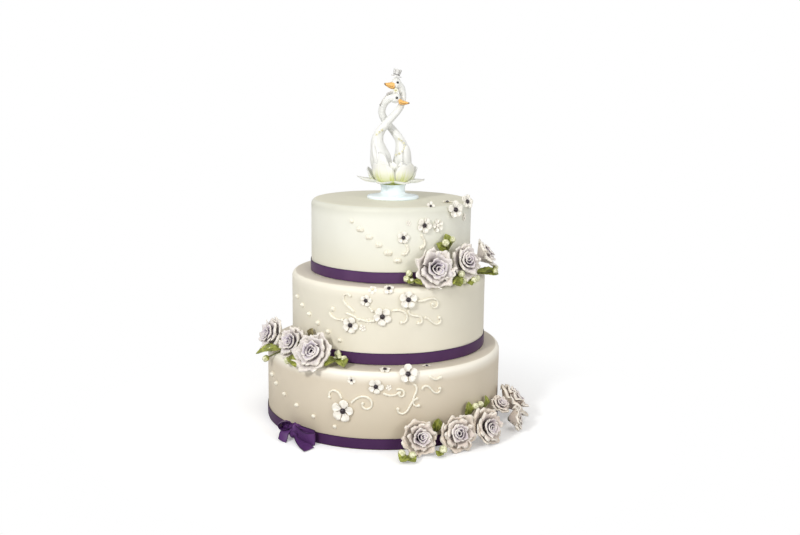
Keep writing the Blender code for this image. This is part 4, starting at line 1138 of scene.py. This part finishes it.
def build_lily(petal_shade, pod_shade):
    """Water lily: flat petals, an upright cup of petals, and the pod that the swans stand on."""
    skin = Skin(Matrix.Translation(TOPPER + Vector((0, 0, LILY_HEIGHT))))
    dice = random.Random(8)

    def petal(azimuth, half, line, depth, hollow, point, blunt=0.84):
        phase = dice.uniform(0, tau)

        def spot(share, across):
            reach, rise = on_curve(line, share)
            side = half * max(0.02, sin(pi * (0.16 + blunt * share ** point)) ** 0.75) * across
            lift = rise + hollow * across ** 2 * sin(pi * share)
            lift += (0.6 + depth) * share ** 2 * sin(4 * across + phase)
            return polar(reach - abs(side) * 0.06, radians(azimuth) + side / max(reach, 9.0), lift)
        skin.sheet(grid(LILY_ROWS, LILY_COLUMNS, spot), tone=dice.random(), depth=depth)

    for azimuth, reach, rise in FLAT_PETALS:
        line = [(9, 0.8), (reach * 0.45, 1.2), (reach * 0.78, 0.9 + rise * 0.25), (reach, 1.2 + rise)]
        petal(azimuth, 13.0, line, 0.12, 4.0, 1.0)
    for azimuth, reach, rise in CUP_PETALS:
        line = [(11, 2.0), (reach * 0.68, 3.4), (reach * 0.90, rise * 0.40), (reach * 0.97, rise * 0.74),
                (reach * 1.02, rise)]
        petal(azimuth, 19.0, line, 1.0, 0.0, 1.3, 0.75)
    for azimuth, half, line, depth, point, blunt in INNER_PETALS:
        petal(azimuth, half, line, depth, 0.0, point, blunt)
    skin.lathe(POD, POD_SIDES, slot=1)
    set_out(skin.make("lily_petals", [petal_shade, pod_shade], LILY_THICK), "lily", "lily")


def sculpt(skin, name, material):
    """Melt the overlapping solids of a skin into one smooth body, and keep only its mesh."""
    rough = skin.make(name + "_rough", [material])
    melt = rough.modifiers.new("melt", "REMESH")
    melt.mode = "VOXEL"
    melt.voxel_size = MELT * MM
    smooth = rough.modifiers.new("soften", "SMOOTH")
    smooth.factor = 0.5
    smooth.iterations = 5
    bpy.context.view_layer.update()
    mesh = bpy.data.meshes.new_from_object(rough.evaluated_get(bpy.context.evaluated_depsgraph_get()))
    mesh.name = name
    mesh.shade_smooth()
    bpy.data.objects.remove(rough)
    return add_object(name, mesh)


def swan_body(stations, head, wings):
    """Tapering body and neck, head, and folded wings, all overlapping."""
    skin = Skin(Matrix.Translation(TOPPER))
    path = [on_curve(stations, step / SWAN_STEPS) for step in range(SWAN_STEPS + 1)]
    skin.tube([Vector(point[:3]) for point in path], [point[3] for point in path], SWAN_SIDES)
    place, size = head
    skin.ball(Vector(place), size, 24, 16)
    for start, end, width, thick in wings:
        middle, course = (Vector(start) + Vector(end)) / 2, Vector(end) - Vector(start)
        turn_by = course.to_track_quat("Z", "Y").to_matrix()
        skin.ball(middle, (width, thick, course.length / 2), 20, 14, turn_by)
    return skin


def build_beak(name, beak, orange, dark):
    """Beak with a drooping bill, a dark mouth line on each side and nostrils."""
    start, end, radius = Vector(beak[0]), Vector(beak[1]), beak[2]
    skin = Skin(Matrix.Translation(TOPPER))
    rows = []
    for step in range(BEAK_STEPS + 1):
        share = step / BEAK_STEPS
        middle = start + (end - start) * share + Vector((0, 0, -0.9 * sin(pi * share)))
        wide = radius * (1.0 - 0.6 * share ** 1.3)
        tall = radius * (1.02 - 0.8 * share ** 1.6)
        turns = [tau * k / BEAK_SIDES for k in range(BEAK_SIDES)]
        rows.append([middle + Vector((0, wide * sin(turn), tall * cos(turn))) for turn in turns])
    skin.sheet(rows, ring=True, tips=(start, end + (end - start).normalized() * 0.7))
    for side in (-1, 1):
        line = []
        for share in (0.15, 0.35, 0.55, 0.75, 0.95):
            wide = side * radius * (1.0 - 0.6 * share ** 1.3)
            line.append(start.lerp(end, share) + Vector((0, wide, -0.9 - 0.9 * sin(pi * share))))
        skin.tube(line, [0.2] * len(line), 5, slot=1)
        nostril = start.lerp(end, 0.42) + Vector((0, side * radius * 0.5, radius * 0.36))
        skin.ball(nostril, (0.75, 0.45, 0.45), slot=1)
    set_out(skin.make(name, [orange, dark]), "swan")


def build_eyes(name, head, eye, black, white):
    """Two round black eyes on the sides of a head, each with a small white ball in it as a painted
    highlight.
    """
    place, size = Vector(head[0]), head[1]
    right, up = eye
    skin = Skin(Matrix.Translation(TOPPER))
    share = 1 - ((right - place.x) / size[0]) ** 2 - ((up - place.z) / size[2]) ** 2
    away = size[1] * sqrt(max(0.0, share))
    for side in (-1, 1):
        spot = Vector((right, place.y + side * (away - 0.1), up))
        skin.ball(spot, (1.6, 0.95, 1.6), 16, 12)
        # Painted highlight: a small white ball as the glint in each eye.
        skin.ball(spot + Vector((-0.4, side * 0.75, 0.45)), (0.3, 0.2, 0.3), slot=1)
    set_out(skin.make(name, [black, white]), "swan")


def tiny_flower(skin, place, radius):
    """Five round petals about a bead, facing the front."""
    centre = Vector(place)
    for petal in range(PETALS):
        turn = tau * petal / PETALS
        shift = Vector((sin(turn), -0.1, cos(turn))) * radius * 0.62
        skin.ball(centre + shift, (radius * 0.45, radius * 0.3, radius * 0.45), 8, 6)
    skin.ball(centre + Vector((0, -radius * 0.25, 0)), (radius * 0.36,) * 3, 8, 6, slot=1)


def build_trims(cream, yellow, grey):
    """Garland and hair flower of the bride, flowers on the groom's breast, and a short veil."""
    skin = Skin(Matrix.Translation(TOPPER))
    tiny_flower(skin, HAIR_FLOWER, 3.1)
    for place in BREAST_FLOWERS:
        tiny_flower(skin, place, 1.7)
    for number, place in enumerate(GARLAND):
        tiny_flower(skin, place, 1.6 - 0.25 * (number % 2))
    set_out(skin.make("garland_flowers", [cream, yellow]), "swan")
    veil = Skin(Matrix.Translation(TOPPER))
    across = Vector((0, 1, 0))
    rows = []
    for step in range(VEIL_STEPS + 1):
        share = step / VEIL_STEPS
        middle = on_curve(VEIL, share)
        ahead, behind = on_curve(VEIL, min(1.0, share + 0.02)), on_curve(VEIL, max(0.0, share - 0.02))
        outward = (ahead - behind).normalized().cross(across).normalized()
        half = 3.6 + 2.6 * share
        rows.append([middle + across * (half * k / 7 + 4.0) + outward * 0.55 * cos(2.2 * k) * (0.5 + share)
                     for k in range(-7, 8)])
    veil.sheet(rows)
    for curl in range(4):
        spot = on_curve(VEIL, 0.06 + 0.1 * curl) + Vector((0, -0.2, 0.9))
        veil.ball(spot, (1.7, 1.8, 1.3), 12, 8)
    set_out(veil.make("veil", [grey], VEIL_THICK), "swan")


def build_hat(glaze, band):
    """Small leaning top hat with a grey band and seams."""
    skin = Skin(Matrix.Translation(TOPPER + HAT_PLACE) @ Matrix.Rotation(HAT_LEAN, 4, "Y"))
    skin.lathe(HAT, HAT_SIDES)
    rows = [[polar(radius, tau * k / HAT_SIDES, height) for k in range(HAT_SIDES)]
            for radius, height in [*HAT_BAND, HAT_BAND[0]]]
    skin.sheet(rows, ring=True, slot=1)
    for side in range(6):
        turn = tau * (side + 0.5) / 6
        seam = [polar(radius, turn, height) for radius, height in HAT_SEAM]
        skin.tube(seam, [0.28] * len(seam), 6, slot=1)
    set_out(skin.make("top_hat_glaze", [glaze, band]), "swan", "top_hat")


def build_camera():
    yaw, pitch, roll = CAMERA_YAW, CAMERA_PITCH, CAMERA_ROLL
    ahead = Vector((sin(yaw) * cos(pitch), cos(yaw) * cos(pitch), -sin(pitch)))
    right = Vector((cos(yaw), -sin(yaw), 0))
    up = right.cross(ahead)
    side = right * cos(roll) + up * sin(roll)
    top = up * cos(roll) - right * sin(roll)
    camera = add_object("camera", bpy.data.cameras.new("camera"))
    camera.data.lens = CAMERA_LENS
    camera.data.sensor_width = SENSOR_WIDTH
    camera.data.clip_end = FAR_END
    turned = Matrix((side, top, -ahead)).transposed().to_4x4()
    camera.matrix_world = Matrix.Translation(CAMERA_PLACE) @ turned
    bpy.context.scene.camera = camera


def build_floor():
    """White floor that fades into the white room where the camera sees it."""
    shade = Shade("studio floor", roughness=0.8)
    seen = shade.node("ShaderNodeLightPath", out="Is Camera Ray")
    reach = shade.node("ShaderNodeVectorMath", {"operation": "LENGTH"}, {0: shade.place()}, out="Value")
    shade.feed("Base Color", shade.mix(seen, (0.62, 0.62, 0.62, 1), (0.94, 0.94, 0.94, 1)))
    shade.feed("Emission Color", shade.mix(seen, (0, 0, 0, 1), (0.2, 0.2, 0.2, 1)))
    shade.shader.inputs["Emission Strength"].default_value = 1.0
    glow = shade.node("ShaderNodeEmission", None, {"Color": (1, 1, 1, 1), "Strength": 1.0}, out="Emission")
    solid = Wire(shade, shade.shader.outputs[0])
    faded = shade.node("ShaderNodeMixShader", None,
                       {0: shade.step(reach, 0.15, 0.4) * seen, 1: solid, 2: glow})
    shade.tree.links.new(faded.socket, shade.tree.nodes["Material Output"].inputs["Surface"])
    mesh = bpy.data.meshes.new("floor")
    corners = [(x * FLOOR_HALF, y * FLOOR_HALF, 0) for x, y in ((-1, -1), (1, -1), (1, 1), (-1, 1))]
    mesh.from_pydata(corners, [], [(0, 1, 2, 3)])
    mesh.materials.append(shade.material)
    floor = add_object("floor", mesh)


def build_room():
    """White room: plain white to the camera, softer as light."""
    world = bpy.data.worlds.new("studio")
    world.use_nodes = True
    bpy.context.scene.world = world
    nodes, links = world.node_tree.nodes, world.node_tree.links
    seen = nodes.new("ShaderNodeLightPath")
    strength = nodes.new("ShaderNodeMapRange")
    strength.inputs["To Min"].default_value = ROOM_LIGHT
    strength.inputs["To Max"].default_value = 1.0
    links.new(seen.outputs["Is Camera Ray"], strength.inputs["Value"])
    links.new(strength.outputs["Result"], nodes["Background"].inputs["Strength"])
    nodes["Background"].inputs["Color"].default_value = (1, 1, 1, 1)
    for name, (place, size, power) in LIGHTS.items():
        lamp = bpy.data.lights.new(name, "AREA")
        lamp.size = size
        lamp.energy = power
        thing = add_object(name, lamp)
        thing.location = place
        thing.rotation_mode = "QUATERNION"
        thing.rotation_quaternion = (LOOKED_AT - Vector(place)).to_track_quat("-Z", "Y")
    bpy.context.scene.view_settings.view_transform = "Standard"


build_camera()
build_floor()
build_room()

piping = piping_shade()
white_sugar = blossom_shade()
dark_bead = bead_shade("charcoal bead", srgb(36, 26, 32), srgb(92, 78, 86))
cream_bead = bead_shade("cream bead", srgb(240, 230, 184), srgb(250, 244, 215))
icings_shaded_by_tier = {  # wall, foot, edge and top of each tier, as lit and shaded copies of one icing: painted shade darkens the walls from the top tier down
    "top": icing_shade("top", srgb(237, 236, 223), srgb(226, 222, 203), srgb(222, 221, 206),
                       srgb(228, 224, 203)),
    "middle": icing_shade("middle", srgb(232, 226, 208), srgb(232, 225, 206), srgb(241, 235, 218),
                          srgb(216, 207, 191)),
    "bottom": icing_shade("bottom", srgb(220, 208, 187), srgb(199, 186, 163), srgb(250, 244, 230),
                          srgb(216, 206, 188)),
}
# Lit and shaded copies of one purple satin: painted shade makes each lower ribbon darker.
satins_shaded_by_tier = {
    "top": ribbon_shade("purple satin top", srgb(88, 58, 97), srgb(42, 22, 48), srgb(102, 72, 110)),
    "middle": ribbon_shade("purple satin middle", srgb(82, 51, 90), srgb(42, 22, 48), srgb(92, 62, 100)),
    "bottom": ribbon_shade("purple satin bottom", srgb(74, 42, 83), srgb(38, 20, 44), srgb(84, 53, 93)),
}
bow_satin = ribbon_shade("dark purple satin", srgb(88, 50, 106), srgb(30, 14, 38), srgb(124, 82, 140))
dice = random.Random(11)
for tier_name in TIERS:
    build_tier(tier_name, icings_shaded_by_tier[tier_name], piping, white_sugar, [dark_bead, cream_bead], dice)
    build_ribbon(tier_name, satins_shaded_by_tier[tier_name])
    for number, blossom in enumerate(BLOSSOMS[tier_name], 1):
        build_blossom(f"blossom_{tier_name}_{number}", tier_name, *blossom, [white_sugar, dark_bead], dice)

green = leaf_shade("olive leaf", srgb(126, 134, 44), srgb(184, 190, 88), srgb(58, 62, 20))
brown = leaf_shade("dry leaf", srgb(120, 108, 66), srgb(160, 148, 104), srgb(76, 66, 40))
buds = bud_shade()
stems = plain_shade("stem green", srgb(108, 112, 50), srgb(70, 70, 34), 300, 0.5)
lavender = rose_shade("lavender petals", srgb(236, 229, 220), srgb(206, 196, 208))
beige = rose_shade("beige petals", srgb(230, 216, 197), srgb(206, 194, 203))
heart = heart_shadow_shade()
for node, rose in ROSES.items():
    build_rose(node, rose, [beige if "lower" in node else lavender, heart, stems], dice)
for node, spray in SPRAYS.items():
    build_spray(node, spray, [brown if node in DRY_SPRIGS else green, buds, stems], dice)
build_bow(bow_satin)

glaze = glaze_shade()
orange = beak_shade()
black = plain_shade("eye black", srgb(16, 14, 14), srgb(30, 26, 26), 500, 0.12)
grey = plain_shade("soft grey glaze", srgb(222, 219, 214), srgb(190, 186, 180), 260, 0.35)
cream = plain_shade("cream flower", srgb(246, 243, 222), srgb(230, 224, 190), 500, 0.4)
yellow = plain_shade("yellow bead", srgb(218, 214, 156), srgb(188, 186, 120), 700, 0.4)
nostril = plain_shade("dark orange", srgb(124, 66, 26), srgb(96, 50, 22), 500, 0.4)
pale_blue = plain_shade("pale blue glaze", srgb(244, 253, 255), srgb(238, 250, 254), 40, 0.2,
                        coat_weight=0.3)
lily_white = lily_shade()
pod_green = plain_shade("lily heart", srgb(206, 212, 120), srgb(180, 192, 80), 200, 0.4)
build_pedestal(pale_blue)
build_lily(lily_white, pod_green)
groom = swan_body(GROOM_STATIONS, GROOM_HEAD, GROOM_WINGS)
bride = swan_body(BRIDE_STATIONS, BRIDE_HEAD, BRIDE_WINGS)
set_out(sculpt(groom, "groom_glaze", glaze), "swan", "swan_groom")
set_out(sculpt(bride, "bride_glaze", glaze), "swan", "swan_bride")
build_beak("groom_beak", GROOM_BEAK, orange, nostril)
build_beak("bride_beak", BRIDE_BEAK, orange, nostril)
build_eyes("groom_eyes", GROOM_HEAD, GROOM_EYE, black, glaze)
build_eyes("bride_eyes", BRIDE_HEAD, BRIDE_EYE, black, glaze)
build_trims(cream, yellow, grey)
build_hat(plain_shade("hat glaze", srgb(240, 239, 235), srgb(214, 212, 207), 160, 0.35),
          plain_shade("hat grey", srgb(150, 148, 146), srgb(120, 118, 116), 260, 0.35))
